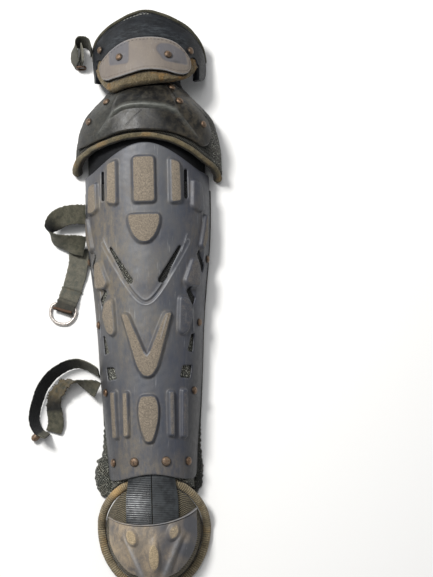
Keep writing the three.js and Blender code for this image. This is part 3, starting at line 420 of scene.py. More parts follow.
# Materials
class Shader:
    """Small helper that wires one procedural material."""

    def __init__(self, name):
        self.material = bpy.data.materials.new(name)
        self.material.use_nodes = True
        self.tree = self.material.node_tree
        self.bsdf = self.tree.nodes["Principled BSDF"]
        self.place = self.tree.nodes.new("ShaderNodeTexCoord").outputs["Object"]
        self.colour = None

    def feed(self, socket, value):
        if isinstance(value, bpy.types.NodeSocket):
            self.tree.links.new(value, socket)
        else:
            socket.default_value = value

    def math(self, operation, a, b=0.0):
        node = self.tree.nodes.new("ShaderNodeMath")
        node.operation = operation
        self.feed(node.inputs[0], a)
        self.feed(node.inputs[1], b)
        return node.outputs[0]

    def times(self, a, b):
        return self.math("MULTIPLY", a, b)

    def plus(self, a, b):
        return self.math("ADD", a, b)

    def ramp(self, value, low, high, out_low=0.0, out_high=1.0):
        node = self.tree.nodes.new("ShaderNodeMapRange")
        node.interpolation_type = "SMOOTHSTEP"
        self.feed(node.inputs["Value"], value)
        node.inputs["From Min"].default_value = low
        node.inputs["From Max"].default_value = high
        node.inputs["To Min"].default_value = out_low
        node.inputs["To Max"].default_value = out_high
        return node.outputs["Result"]

    def mix(self, share, a, b):
        node = self.tree.nodes.new("ShaderNodeMix")
        node.data_type = "RGBA"
        self.feed(node.inputs[0], share)
        self.feed(node.inputs[6], a)
        self.feed(node.inputs[7], b)
        return node.outputs[2]

    def paint(self, share, colour):
        """Lay a colour over the colour so far."""
        self.colour = self.mix(share, self.colour, colour)

    def noise(self, feature_mm, detail=3.0, roughness=0.55, stretch=(1, 1, 1), offset=0.0):
        mapping = self.tree.nodes.new("ShaderNodeMapping")
        self.feed(mapping.inputs["Vector"], self.place)
        mapping.inputs["Scale"].default_value = stretch
        mapping.inputs["Location"].default_value = (offset, offset * 0.7, offset * 1.3)
        node = self.tree.nodes.new("ShaderNodeTexNoise")
        self.tree.links.new(mapping.outputs[0], node.inputs["Vector"])
        node.inputs["Scale"].default_value = 1000 / feature_mm
        node.inputs["Detail"].default_value = detail
        node.inputs["Roughness"].default_value = roughness
        return node.outputs["Fac"]

    def value(self, name):
        node = self.tree.nodes.new("ShaderNodeAttribute")
        node.attribute_name = name
        return node.outputs["Fac"]

    def wave(self, name, period, phase=0.0):
        turned = self.times(self.value(name), 2 * math.pi / period)
        return self.math("SINE", self.plus(turned, phase))

    def bump(self, height, distance_mm, strength=1.0, under=None):
        node = self.tree.nodes.new("ShaderNodeBump")
        node.inputs["Strength"].default_value = strength
        node.inputs["Distance"].default_value = distance_mm * 0.001
        self.feed(node.inputs["Height"], height)
        if under is not None:
            self.tree.links.new(under, node.inputs["Normal"])
        return node.outputs["Normal"]

    def finish(self, roughness, normal=None, **constants):
        self.feed(self.bsdf.inputs["Base Color"], self.colour)
        self.feed(self.bsdf.inputs["Roughness"], roughness)
        if normal is not None:
            self.feed(self.bsdf.inputs["Normal"], normal)
        for key, value in constants.items():
            self.bsdf.inputs[key.replace("_", " ")].default_value = value
        return self.material


def rgb(r, g, b):
    """A display colour from 0 to 255 as the linear colour that the shader needs."""
    def linear(c):
        c /= 255
        return c / 12.92 if c <= 0.04045 else ((c + 0.055) / 1.055) ** 2.4
    return (linear(r), linear(g), linear(b), 1.0)


def scaled(colour, share):
    """The same colour, darker or lighter."""
    return tuple(share * c for c in colour[:3]) + (1.0,)


def shell_plastic(name, base, cool, warm, scuff, gloss=0.42, cool_spread=0.7):
    """Moulded plastic with cool and warm areas, dust, fine scratches, pale edges and scuffed pads. The cool
    and dark values also carry painted shade, and the pale edges are partly painted highlight.
    """
    s = Shader(name)
    area = s.ramp(s.noise(55, 2, 0.5), 0.38, 0.62)
    # Cool: real bluish patches on the thigh plate, painted shade on the shin and toe shells.
    cool_share = s.math("MAXIMUM", s.times(area, cool_spread), s.value("cool"))
    s.colour = s.mix(cool_share, base, cool)
    mottle = s.noise(7, 6, 0.72, offset=3.0)
    smears = s.noise(9, 6, 0.75, stretch=(1, 0.4, 1), offset=31.0)
    dust = s.times(s.value("dust"), s.ramp(smears, 0.25, 0.75))
    powder = s.ramp(s.noise(1.0, 4, 0.8, offset=29.0), 0.3, 0.7, 0.55, 1.25)
    s.paint(s.math("MINIMUM", s.times(dust, powder), 0.9), warm)
    grain = s.noise(1.5, 5, 0.85, offset=7.0)
    speckle = s.ramp(grain, 0.36, 0.62)
    blotch = s.ramp(s.noise(5, 4, 0.7, offset=13.0), 0.35, 0.65)
    tan = s.mix(speckle, scaled(scuff, 0.34), scuff)
    tan = s.mix(s.times(blotch, 0.5), tan, scaled(scuff, 0.62))
    rubbing = s.plus(s.times(mottle, 0.6), s.times(grain, 0.5))
    edge = s.plus(s.value("wear_and_highlight"), s.math("SUBTRACT", rubbing, 0.55))
    worn_and_lit = s.ramp(edge, 0.25, 0.85)
    s.paint(s.times(worn_and_lit, 0.95), tan)
    streak = s.noise(2.0, 4, 0.65, stretch=(1, 0.05, 1), offset=11.0)
    scratch = s.ramp(streak, 0.6, 0.76, 0.0, 0.34)
    s.paint(s.times(scratch, s.math("SUBTRACT", 1.0, worn_and_lit)), rgb(168, 170, 170))
    nick = s.noise(3.4, 4, 0.7, stretch=(0.12, 1, 1), offset=17.0)
    s.paint(s.ramp(nick, 0.68, 0.78, 0.0, 0.3), rgb(160, 156, 148))
    # Pale lines on lips, rims and creases: partly wear, partly painted highlight.
    pale = s.times(s.value("pale"), s.ramp(s.noise(6, 4, 0.7, offset=19.0), 0.3, 0.55, 0.35, 1.0))
    s.paint(pale, rgb(176, 178, 182))
    # Dark: painted shade on the shin and toe shells, dark seam dashes on the thigh plate.
    s.paint(s.value("dark"), rgb(26, 26, 30))
    smear = s.ramp(mottle, 0.3, 0.7, gloss - 0.02, gloss + 0.08)
    rough = s.plus(s.times(s.math("MAXIMUM", worn_and_lit, dust), 0.26), smear)
    fine = s.bump(s.plus(grain, s.times(streak, 0.8)), 0.3, 0.4)
    rubbed = s.bump(s.times(speckle, worn_and_lit), 0.4, 0.8, under=fine)
    normal = s.bump(s.noise(14, 3, 0.5, offset=5.0), 0.5, 0.3, under=rubbed)
    return s.finish(rough, normal, Specular_IOR_Level=0.5)


def knee_plastic():
    """Dusty near black plastic with brown rubbed areas and hairline cracks. Its pale rubbing is partly wear
    and partly a painted highlight.
    """
    s = Shader("knee_plastic")
    mottle = s.noise(8, 6, 0.74)
    broad = s.noise(30, 4, 0.6, offset=4.0)
    s.colour = s.mix(s.ramp(broad, 0.38, 0.62), rgb(9, 10, 12), rgb(26, 27, 27))
    s.paint(s.ramp(mottle, 0.48, 0.7, 0.0, 0.5), rgb(58, 57, 50))
    dust = s.times(s.value("dust"), s.ramp(mottle, 0.36, 0.62))
    s.paint(s.math("MINIMUM", dust, 0.7), rgb(66, 60, 49))
    scrape = s.noise(2.6, 5, 0.75, stretch=(0.35, 1.0, 1), offset=9.0)
    # Pale rubbing, which is partly a painted highlight.
    worn_and_lit = s.times(s.value("wear_and_highlight"), s.ramp(scrape, 0.3, 0.62, 0.3, 1.0))
    s.paint(s.math("MINIMUM", worn_and_lit, 0.75), rgb(104, 106, 101))
    s.paint(s.ramp(scrape, 0.6, 0.74, 0.0, 0.3), rgb(96, 95, 90))
    s.paint(s.value("crack"), rgb(10, 10, 11))
    rough = s.ramp(mottle, 0.3, 0.7, 0.32, 0.46)
    grain = s.bump(s.noise(1.3, 5, 0.75, offset=2.0), 0.3, 0.5)
    scored = s.bump(scrape, 0.4, 0.5, under=grain)
    wrinkle = s.bump(s.noise(11, 4, 0.6, stretch=(1.0, 0.6, 1), offset=8.0), 0.9, 0.45, under=scored)
    return s.finish(rough, wrinkle, Specular_IOR_Level=0.34)


def mesh_cloth(name, thread, hole, pitch=3.4, dusty=rgb(120, 112, 92)):
    """Open knit over foam: rows of small holes set in a diamond pattern, with stitch lines."""
    s = Shader(name)
    cells = s.times(s.wave("across", pitch), s.wave("along", pitch))
    rows = s.ramp(cells, -0.3, 0.3)
    tone = s.noise(14, 4, 0.65)
    yarn = s.mix(s.ramp(tone, 0.4, 0.66), thread, dusty)
    faint = scaled(thread, 0.4)
    yarn = s.mix(s.ramp(s.noise(1.0, 4, 0.8, offset=6.0), 0.38, 0.62), faint, yarn)
    s.colour = s.mix(rows, hole, yarn)
    s.paint(s.value("shade"), rgb(9, 10, 11))
    # Painted shade on the liners' inner faces.
    s.paint(s.times(s.value("inner"), 0.8), rgb(20, 21, 21))
    glint = s.times(s.value("glint"), s.ramp(s.noise(1.5, 3, 0.7, offset=23.0), 0.55, 0.63))
    s.paint(glint, rgb(196, 196, 184))
    fuzz = s.bump(s.noise(0.9, 4, 0.8, offset=3.0), 0.5, 0.7)
    normal = s.bump(rows, 1.0, 0.9, under=fuzz)
    return s.finish(0.9, normal, Specular_IOR_Level=0.25, Sheen_Weight=0.15)


def cord_tape(name, low, high, dirt, pitch=1.7, fuzz=0.5, rib=0.35):
    """Ribbed tape or roll, mottled with dust, for bindings, hems and piping."""
    s = Shader(name)
    tone = s.noise(9, 5, 0.7)
    fine = s.noise(1.1, 5, 0.85, offset=5.0)
    s.colour = s.mix(s.ramp(tone, 0.36, 0.64), low, high)
    s.paint(s.ramp(s.noise(20, 4, 0.6, offset=9.0), 0.5, 0.66), dirt)
    ribs = s.wave("along", pitch)
    shadow = scaled(low, 0.22)
    s.paint(s.ramp(ribs, -1.0, 0.3, rib, 0.0), shadow)
    s.paint(s.ramp(fine, 0.36, 0.58, 0.75, 0.0), shadow)
    s.paint(s.ramp(fine, 0.56, 0.7, 0.0, 0.35), scaled(high, 1.5))
    # Painted highlight: a warm, lit patch on the roll.
    s.paint(s.times(s.value("warm_highlight"), s.ramp(fine, 0.3, 0.5)), rgb(190, 156, 104))
    s.paint(s.value("shade"), rgb(16, 15, 13))
    normal = s.bump(ribs, 0.3, 0.8, under=s.bump(fine, 1.0, fuzz))
    return s.finish(0.95, normal, Specular_IOR_Level=0.15, Sheen_Weight=0.15)


def coated_cloth(name, dark, light, dust_colour, rough=0.5):
    """Coated cloth over foam, with rubbed streaks and soft wrinkles."""
    s = Shader(name)
    tone = s.noise(18, 4, 0.65)
    s.colour = s.mix(s.ramp(tone, 0.36, 0.66), dark, light)
    rub = s.noise(4, 6, 0.8, stretch=(0.3, 1.5, 1), offset=4.0)
    share = s.plus(s.times(s.value("dust"), 0.75), 0.12)
    s.paint(s.times(s.ramp(rub, 0.42, 0.66), share), dust_colour)
    s.paint(s.value("shade"), rgb(8, 9, 11))
    s.paint(s.value("stitch"), rgb(168, 168, 160))
    grain = s.bump(s.noise(1.1, 5, 0.8, offset=6.0), 0.35, 0.6)
    normal = s.bump(s.noise(13, 4, 0.6, stretch=(0.7, 1.3, 1), offset=8.0), 1.2, 0.5, under=grain)
    return s.finish(s.ramp(rub, 0.3, 0.7, rough - 0.08, rough + 0.2), normal, Specular_IOR_Level=0.27)


def webbing_cloth(name, face, worn_and_lit, shadow):
    """Flat woven webbing: fine ribs across, lighter edges that are partly wear and partly painted highlight,
    and painted shade on faces that lie in shadow.
    """
    s = Shader(name)
    weave = s.times(s.wave("along", 1.5), s.wave("across", 2.1))
    tone = s.noise(7, 5, 0.7)
    s.colour = s.mix(s.ramp(tone, 0.38, 0.66), face, worn_and_lit)
    s.paint(s.times(s.value("dust"), s.ramp(tone, 0.3, 0.55)), rgb(126, 112, 86))
    dark = scaled(face, 0.3)
    s.paint(s.ramp(weave, -0.9, 0.3, 0.5, 0.0), dark)
    fleck = s.noise(1.0, 5, 0.85, offset=2.0)
    s.paint(s.ramp(fleck, 0.36, 0.56, 0.5, 0.0), dark)
    hem = s.ramp(s.math("ABSOLUTE", s.value("across")), 10.2, 12.0, 0.0, 0.35)
    # Lighter edges: partly wear, partly painted highlight.
    s.paint(hem, worn_and_lit)
    s.paint(s.value("shade"), shadow)
    normal = s.bump(weave, 0.4, 0.9, under=s.bump(fleck, 0.5, 0.6))
    return s.finish(0.9, normal, Specular_IOR_Level=0.2, Sheen_Weight=0.12)


def ribbed_elastic(name, gloss, rib):
    """Black rubbery strap with fine ribs across it, and painted highlights on the rib crests."""
    s = Shader(name)
    ribs = s.wave("along", 2.1)
    tone = s.noise(12, 5, 0.7)
    s.colour = s.mix(s.ramp(tone, 0.36, 0.66), rgb(24, 27, 30), rgb(52, 56, 59))
    worn_and_lit = s.times(s.ramp(ribs, 0.2, 0.9), s.value("wear_and_highlight"))
    worn_and_lit = s.times(worn_and_lit, s.ramp(s.noise(3, 5, 0.8, offset=3.0), 0.3, 0.5))
    # Painted highlight: near white on the rib crests.
    s.paint(worn_and_lit, rgb(214, 216, 218))
    s.paint(s.value("edge"), rgb(120, 124, 126))
    normal = s.bump(ribs, 0.35, rib, under=s.bump(s.noise(1.2, 4, 0.8), 0.2, 0.4))
    return s.finish(s.ramp(tone, 0.3, 0.7, gloss, gloss + 0.2), normal, Specular_IOR_Level=0.5)


def tarnished_metal(name, low, high, dirt, rough=0.42):
    """Metal with tarnish, and dust that settled round its foot."""
    s = Shader(name)
    tone = s.noise(3, 5, 0.75)
    s.colour = s.mix(s.ramp(tone, 0.36, 0.64), low, high)
    dusty = s.times(s.ramp(s.noise(1.6, 5, 0.85, offset=5.0), 0.34, 0.6), s.value("dust"))
    s.paint(dusty, dirt)
    s.paint(s.value("shade"), rgb(22, 18, 15))
    rough_field = s.plus(s.times(dusty, 0.45), s.ramp(tone, 0.3, 0.7, rough - 0.12, rough + 0.15))
    metal = s.math("SUBTRACT", 0.8, s.times(dusty, 0.75))
    s.feed(s.bsdf.inputs["Metallic"], metal)
    return s.finish(rough_field, s.bump(s.noise(0.9, 5, 0.85, offset=3.0), 0.25, 0.6))


shin_plastic = shell_plastic("shin_plastic", rgb(77, 80, 86), rgb(57, 62, 75),
                             rgb(118, 108, 90), rgb(162, 149, 131))
toe_plastic = shell_plastic("toe_plastic", rgb(102, 98, 94), rgb(74, 76, 83),
                            rgb(172, 154, 128), rgb(216, 194, 158), gloss=0.44)
plate_plastic = shell_plastic("plate_plastic", rgb(106, 98, 92), rgb(82, 83, 90),
                              rgb(126, 117, 106), rgb(146, 138, 126), gloss=0.5, cool_spread=0.1)
knee_material = knee_plastic()
shin_mesh = mesh_cloth("shin_mesh", rgb(86, 89, 80), rgb(9, 11, 11), 3.4, rgb(118, 113, 96))
knee_mesh = mesh_cloth("knee_mesh", rgb(58, 58, 50), rgb(10, 11, 11), 3.0, rgb(92, 86, 68))
toe_mesh = mesh_cloth("toe_mesh", rgb(140, 130, 104), rgb(20, 19, 17), 3.6, rgb(164, 150, 122))
hem_tape = cord_tape("hem_tape", rgb(100, 92, 70), rgb(136, 124, 96), rgb(146, 122, 84), 1.6, 1.0)
toe_tape = cord_tape("toe_tape", rgb(136, 124, 100), rgb(172, 158, 130), rgb(160, 138, 102), 2.6, 0.6, 0.7)
pad_piping = cord_tape("pad_piping", rgb(70, 68, 56), rgb(98, 94, 78), rgb(80, 78, 66), 1.6, 0.5)
pale_piping = cord_tape("pale_piping", rgb(96, 90, 76), rgb(190, 182, 164), rgb(92, 84, 68), 3.2, 0.4, 1.0)
bumper_cloth = cord_tape("bumper_cloth", rgb(104, 92, 68), rgb(134, 120, 92), rgb(146, 112, 62),
                         1.8, 1.0, 0.45)
pad_cloth = coated_cloth("pad_cloth", rgb(11, 13, 17), rgb(23, 26, 31), rgb(70, 75, 79), 0.5)
link_cloth = coated_cloth("link_cloth", rgb(8, 9, 12), rgb(16, 18, 22), rgb(40, 40, 40), 0.7)
olive_webbing = webbing_cloth("olive_webbing", rgb(78, 80, 69), rgb(108, 107, 93), rgb(13, 15, 20))
grey_webbing = webbing_cloth("grey_webbing", rgb(104, 106, 98), rgb(134, 132, 120), rgb(26, 27, 29))
elastic_left = ribbed_elastic("elastic_left", 0.26, 0.9)
elastic_right = ribbed_elastic("elastic_right", 0.5, 0.3)
copper = tarnished_metal("copper", rgb(62, 46, 36), rgb(134, 106, 82), rgb(120, 106, 90), 0.32)
steel = tarnished_metal("steel", rgb(168, 164, 160), rgb(224, 222, 218), rgb(120, 82, 56), 0.26)
rusty = tarnished_metal("rusty", rgb(60, 46, 40), rgb(104, 84, 70), rgb(84, 62, 46), 0.5)

# Shin shell: flat coordinates are x along the girth from the ridge and y along the guard.
# Each pad: corner radius, wear on the left and right one, corners as side and length shares. The right ones
# get less wear, partly as painted shade for the right flank.
RELIEF_SHIFT = -0.016
RIDGE_PADS = [
    (5, 1.0, [(-0.1, 0.812), (0.115, 0.812), (0.115, 0.955), (-0.1, 0.955)]),
    (8, 1.0, [(-0.05, 0.69), (0.05, 0.69), (0.12, 0.715), (0.16, 0.752), (0.16, 0.778), (-0.16, 0.778),
              (-0.16, 0.752), (-0.12, 0.715)]),
    (7, 1.0, [(-0.045, 0.093), (0.045, 0.093), (0.095, 0.125), (0.13, 0.165), (0.13, 0.205), (0.09, 0.232),
              (-0.09, 0.232), (-0.13, 0.205), (-0.13, 0.165), (-0.095, 0.125)]),
    (7, 0.95, [(-0.05, 0.287), (0.05, 0.287), (0.125, 0.315), (0.295, 0.481), (0.206, 0.479), (0.0, 0.345),
               (-0.206, 0.479), (-0.295, 0.481), (-0.125, 0.315)]),
]
SIDE_PADS = [
    (4, 0.95, 0.9, [(0.265, 0.81), (0.385, 0.818), (0.375, 0.94), (0.265, 0.95)]),
    (4, 0.75, 0.15, [(0.52, 0.805), (0.61, 0.795), (0.7, 0.8), (0.665, 0.885), (0.53, 0.892)]),
    (3, 0.9, 0.5, [(0.265, 0.112), (0.345, 0.112), (0.325, 0.245), (0.25, 0.245)]),
    (3, 0.8, 0.4, [(0.45, 0.108), (0.55, 0.108), (0.52, 0.25), (0.43, 0.25)]),
    (5, 0.75, 0.35, [(0.38, 0.425), (0.43, 0.414), (0.52, 0.427), (0.585, 0.478), (0.52, 0.52),
                     (0.385, 0.53)]),
    (5, 0.8, 0.45, [(0.44, 0.575), (0.5, 0.56), (0.69, 0.565), (0.64, 0.642), (0.54, 0.65)]),
    (4, 0.6, 0.7, [(0.66, 0.69), (0.72, 0.68), (0.8, 0.72), (0.78, 0.79), (0.74, 0.79)]),
]
VENTS = [
    (3, [(0.145, 0.57), (0.2, 0.568), (0.236, 0.583), (0.403, 0.684), (0.37, 0.684), (0.14, 0.581)]),
    (2, [(0.437, 0.83), (0.48, 0.83), (0.476, 0.922), (0.437, 0.922)]),
    (2, [(0.425, 0.286), (0.593, 0.285), (0.615, 0.324), (0.458, 0.322)]),
    (1, [(0.54, 0.367), (0.632, 0.364), (0.655, 0.42), (0.6, 0.418)]),
    (2, [(0.485, 0.548), (0.53, 0.563), (0.65, 0.53), (0.612, 0.504)]),
    (2, [(0.63, 0.667), (0.675, 0.68), (0.81, 0.634), (0.765, 0.61)]),
]
# Hollows above the half round pads: side share, length share, half width, half length, depth
HOLLOWS = [(0.58, 0.545, 9, 12, 1.8), (0.71, 0.665, 8, 12, 1.8), (0.44, 0.56, 6, 10, 0.8)]
SHELL_DUST_ALL_OVER = 0.18
# Dust on the shell: side share, length share, spread across, spread along, amount
SHELL_DUST = [
    (0.0, 0.0, 34, 12, 1.3), (-0.35, 0.02, 30, 22, 1.0), (-0.5, 0.72, 22, 56, 1.4),
    (-0.36, 0.55, 22, 40, 1.2), (-0.26, 0.13, 22, 30, 0.9), (-0.62, 0.62, 18, 40, 1.1),
    (0.05, 0.42, 22, 24, 0.6), (0.55, 0.74, 12, 40, 0.4), (-0.8, 0.4, 16, 60, 0.4),
    (0.45, 0.03, 26, 12, 0.5), (-0.3, 0.36, 12, 40, 0.45), (0.0, 0.6, 26, 30, 0.35),
    (-0.3, 0.8, 20, 40, 0.45),
]
# Worn creases that catch the light: corner points as side and length shares
CREASES = [
    [(-0.4, 0.668), (-0.47, 0.715)], [(0.4, 0.665), (0.46, 0.72)], [(-0.62, 0.5), (-0.63, 0.59)],
    [(0.76, 0.62), (0.79, 0.67)], [(0.63, 0.43), (0.6, 0.5)], [(-0.7, 0.42), (-0.69, 0.52)],
    [(0.155, 0.4), (0.23, 0.47)], [(-0.03, 0.36), (0.0, 0.347), (0.03, 0.36)],
]
GROOVE = {"width": 5.3, "depth": 1.7, "lip": 0.6, "tip": 0.511, "rise": 0.251, "reach": 0.48, "blunt": 0.3}
PAD_SLOPE = {"foot": 2.2, "width": 3.2}
CREASE = {"height": 0.5, "width": 1.5}
VENT_SNAP = 0.6


def on_skin(spots, mirror=1):
    """Side and length shares as flat places on the shin shell's skin."""
    return [((mirror * side + RELIEF_SHIFT) * SHIN_GIRTH, along * SHIN_LENGTH) for side, along in spots]


def shin_top(side):
    """The shin shell's upper end, which falls towards its flanks."""
    return SHIN_LENGTH * (1 - 0.075 * smooth(np.abs(side) / 0.72))


def shin_bottom(side):
    """The shin shell's lower end, arched over the ankle and cut back at its corners."""
    corner = np.clip(np.abs(side) - 0.72, 0, None) / 0.28
    return SHIN_LENGTH * (0.032 * corner ** 2 - 0.015 * smooth(np.abs(side) / 0.6))


def cut_vents(x, y):
    """Pulls the grid onto the vents' outlines, and gives the distance to the nearest vent."""
    cut = np.full(x.shape, FIELD_REACH)
    for mirror in (1, -1):
        for radius, corners in VENTS:
            outline = softened(on_skin(corners, mirror), radius)
            distance, near_x, near_y = outline_distance(x, y, outline)
            snap = np.abs(distance) < VENT_SNAP
            x, y = np.where(snap, near_x, x), np.where(snap, near_y, y)
            cut = np.minimum(cut, np.where(snap, 0.0, distance))
    return x, y, cut


def raise_pads(x, y):
    """Height and wear of the raised pads, and the distance from their foot."""
    lift = np.zeros(x.shape)
    wear_and_highlight = np.zeros(x.shape)
    root = np.full(x.shape, FIELD_REACH)
    pads = [(radius, amount, corners, 1) for radius, amount, corners in RIDGE_PADS]
    pads += [(radius, right, corners, 1) for radius, left, right, corners in SIDE_PADS]
    pads += [(radius, left, corners, -1) for radius, left, right, corners in SIDE_PADS]
    for radius, amount, corners, mirror in pads:
        distance, _, _ = outline_distance(x, y, softened(on_skin(corners, mirror), radius))
        dome = 0.5 * smooth(-distance / 8)
        flank = smooth((PAD_SLOPE["foot"] - distance) / PAD_SLOPE["width"])
        lift = np.maximum(lift, (RIB_HEIGHT - 0.5) * flank + dome)
        wear_and_highlight = np.maximum(wear_and_highlight, amount * smooth((0.1 - distance) / 2.6))
        root = np.minimum(root, np.abs(distance - 2.6))
    return lift, wear_and_highlight, root


def press_hollows(x, y, lift):
    for mirror in (1, -1):
        for side, along, half_width, half_length, depth in HOLLOWS:
            (middle_x, middle_y), = on_skin([(side, along)], mirror)
            reach = np.hypot((x - middle_x) / half_width, (y - middle_y) / half_length)
            lift = lift - depth * (1 - smooth(reach)) * (lift < 1.5)
    return lift


def press_groove(x, y, lift):
    """The V groove with its raised lip, whose pale line is partly rubbing and partly a painted highlight."""
    arm = np.linspace(-1, 1, 61)
    climb = GROOVE["rise"] * (np.hypot(arm, GROOVE["blunt"]) - GROOVE["blunt"])
    groove = np.array(on_skin(zip(arm * GROOVE["reach"], GROOVE["tip"] + climb)))
    distance, _, near_y = outline_distance(x, y, groove, closed=False)
    fade = 1 - 0.8 * smooth((near_y / SHIN_LENGTH - 0.57) / 0.07)
    outside = distance - GROOVE["width"] / 2
    lift = lift - GROOVE["depth"] * fade * (1 - smooth((outside + 1.3) / 1.4))
    lift = lift + GROOVE["lip"] * bell(outside - 0.5, 0.75) * np.clip(fade, 0.5, 1)
    return lift, 0.5 * bell(outside - 0.2, 0.6) * np.clip(fade, 0.6, 1)


def shell_shades(x, y, root):
    """Dust over the shin shell, and painted shade as a cool tone and darkness on its flanks and lower end,
    most on the right.
    """
    share, bend = x / SHIN_GIRTH, y / SHIN_LENGTH
    dust = SHELL_DUST_ALL_OVER + 0.2 * bell(root - 0.5, 1.2)
    for side, along, spread_x, spread_y, amount in SHELL_DUST:
        patch = bell(x - side * SHIN_GIRTH, spread_x) * bell(y - along * SHIN_LENGTH, spread_y)
        dust = dust + amount * patch
    # Painted shade: cooler on the right flank and at the lower end.
    cool = smooth((share - 0.15) / 0.4) + 0.5 * smooth((0.35 - bend) / 0.15)
    # Painted shade: darker on both flanks, most on the right and towards the lower end.
    low_end = smooth((0.5 - bend) / 0.25)
    dark = 0.3 * smooth((share - 0.3) / 0.45) + 0.6 * smooth((share - 0.42) / 0.3) * low_end
    dark = dark + 0.4 * smooth((-share - 0.35) / 0.35) * low_end + 0.15 * smooth((-share - 0.4) / 0.4)
    return 1.1 * np.tanh(dust * 0.9), np.clip(cool, 0, 1), dark


def make_shin_shell():
    rows, columns = 400, 196
    side, row = np.meshgrid(np.linspace(-1, 1, columns), np.linspace(0, 1, rows))
    bottom, top = shin_bottom(side), shin_top(side)
    rim = np.minimum.reduce([(1 - row) * (top - bottom), row * (top - bottom),
                             (1 - np.abs(side)) * SHIN_GIRTH])
    x, y, cut = cut_vents(side * SHIN_GIRTH, bottom + (top - bottom) * row)
    holes = cut <= 0.001
    keep = ~(holes[:-1, :-1] & holes[:-1, 1:] & holes[1:, 1:] & holes[1:, :-1])
    lift, wear_and_highlight, root = raise_pads(x, y)
    lift, pale = press_groove(x, y, press_hollows(x, y, lift))
    share, bend = x / SHIN_GIRTH, y / SHIN_LENGTH
    # Painted highlight on the vents' rims, on the left side only.
    pale = np.maximum(pale, 0.35 * bell(cut - 0.5, 0.6) * smooth((0.3 - share) / 0.4))
    for crease in CREASES:
        distance, _, _ = outline_distance(x, y, np.array(on_skin(crease)), closed=False)
        lift = lift + CREASE["height"] * bell(distance, CREASE["width"])
        pale = np.maximum(pale, 0.6 * bell(distance, 0.55))
    ridge = bell(x, 15) * smooth((bend - 0.53) / 0.05) * smooth((0.7 - bend) / 0.06)
    shoulder = bell(np.abs(side) - 0.47, 0.03) * smooth((bend - 0.1) / 0.1) * smooth((0.8 - bend) / 0.1)
    lift = lift + 1.0 * ridge + 0.5 * shoulder * (lift < 1)
    lift = lift - near(np.minimum(rim, np.clip(cut, 0, None)), 1.6) ** 2
    lift = lift + 0.28 * ripple(x, y, 70, 4) + 0.07 * ripple(x, y, 11, 5)
    # Pale line along the rim: partly wear, partly painted highlight.
    pale = np.maximum(pale, 0.35 * near(rim, 1.2))
    dust, cool, dark = shell_shades(x, y, root)
    points, faces = shin_form.point(share, y, lift), grid_faces(rows, columns, keep)
    obj = make_object("shin_shell_skin", points, faces.tolist(),
                      {"dust": dust, "wear_and_highlight": wear_and_highlight, "pale": pale, "cool": cool, "dark": dark})
    thick = obj.modifiers.new("wall", "SOLIDIFY")
    thick.thickness = (SHELL_WALL - 0.3) * 0.001
    thick.offset = -1
    thick.use_rim_only = True
    return dress(obj, "shin_shell", shin_plastic, "shin_shell")


# How far the liner's foot stands out at the ankle beyond its lip: length share, left, right
ANKLE_FLARE = np.array([(-0.06, 9, -3), (-0.035, 14, 4), (0.02, 16, 5.5), (0.05, 8, 4), (0.118, 2.5, 1),
                        (0.19, 0, 0), (0.9, 0, 0)])
LINER_TOP = SHIN_LENGTH - 46
LINER_BOTTOM = -24
# The torn corner that sticks out of the liner's left foot: height along the guard, half width, reach
TORN_CORNER = (19, 4.5, 6.5)


def toe_arch(x):
    """How far up the toe binding reaches at x."""
    reach = TOE_HALF_WIDTH + GAP + 2 * TOE_BINDING_RADIUS
    share = np.sqrt(np.clip(1 - (x / reach) ** 2, 0, 1))
    return TOE_MIDDLE + (TOE_ABOVE + GAP + 2 * TOE_BINDING_RADIUS) * share


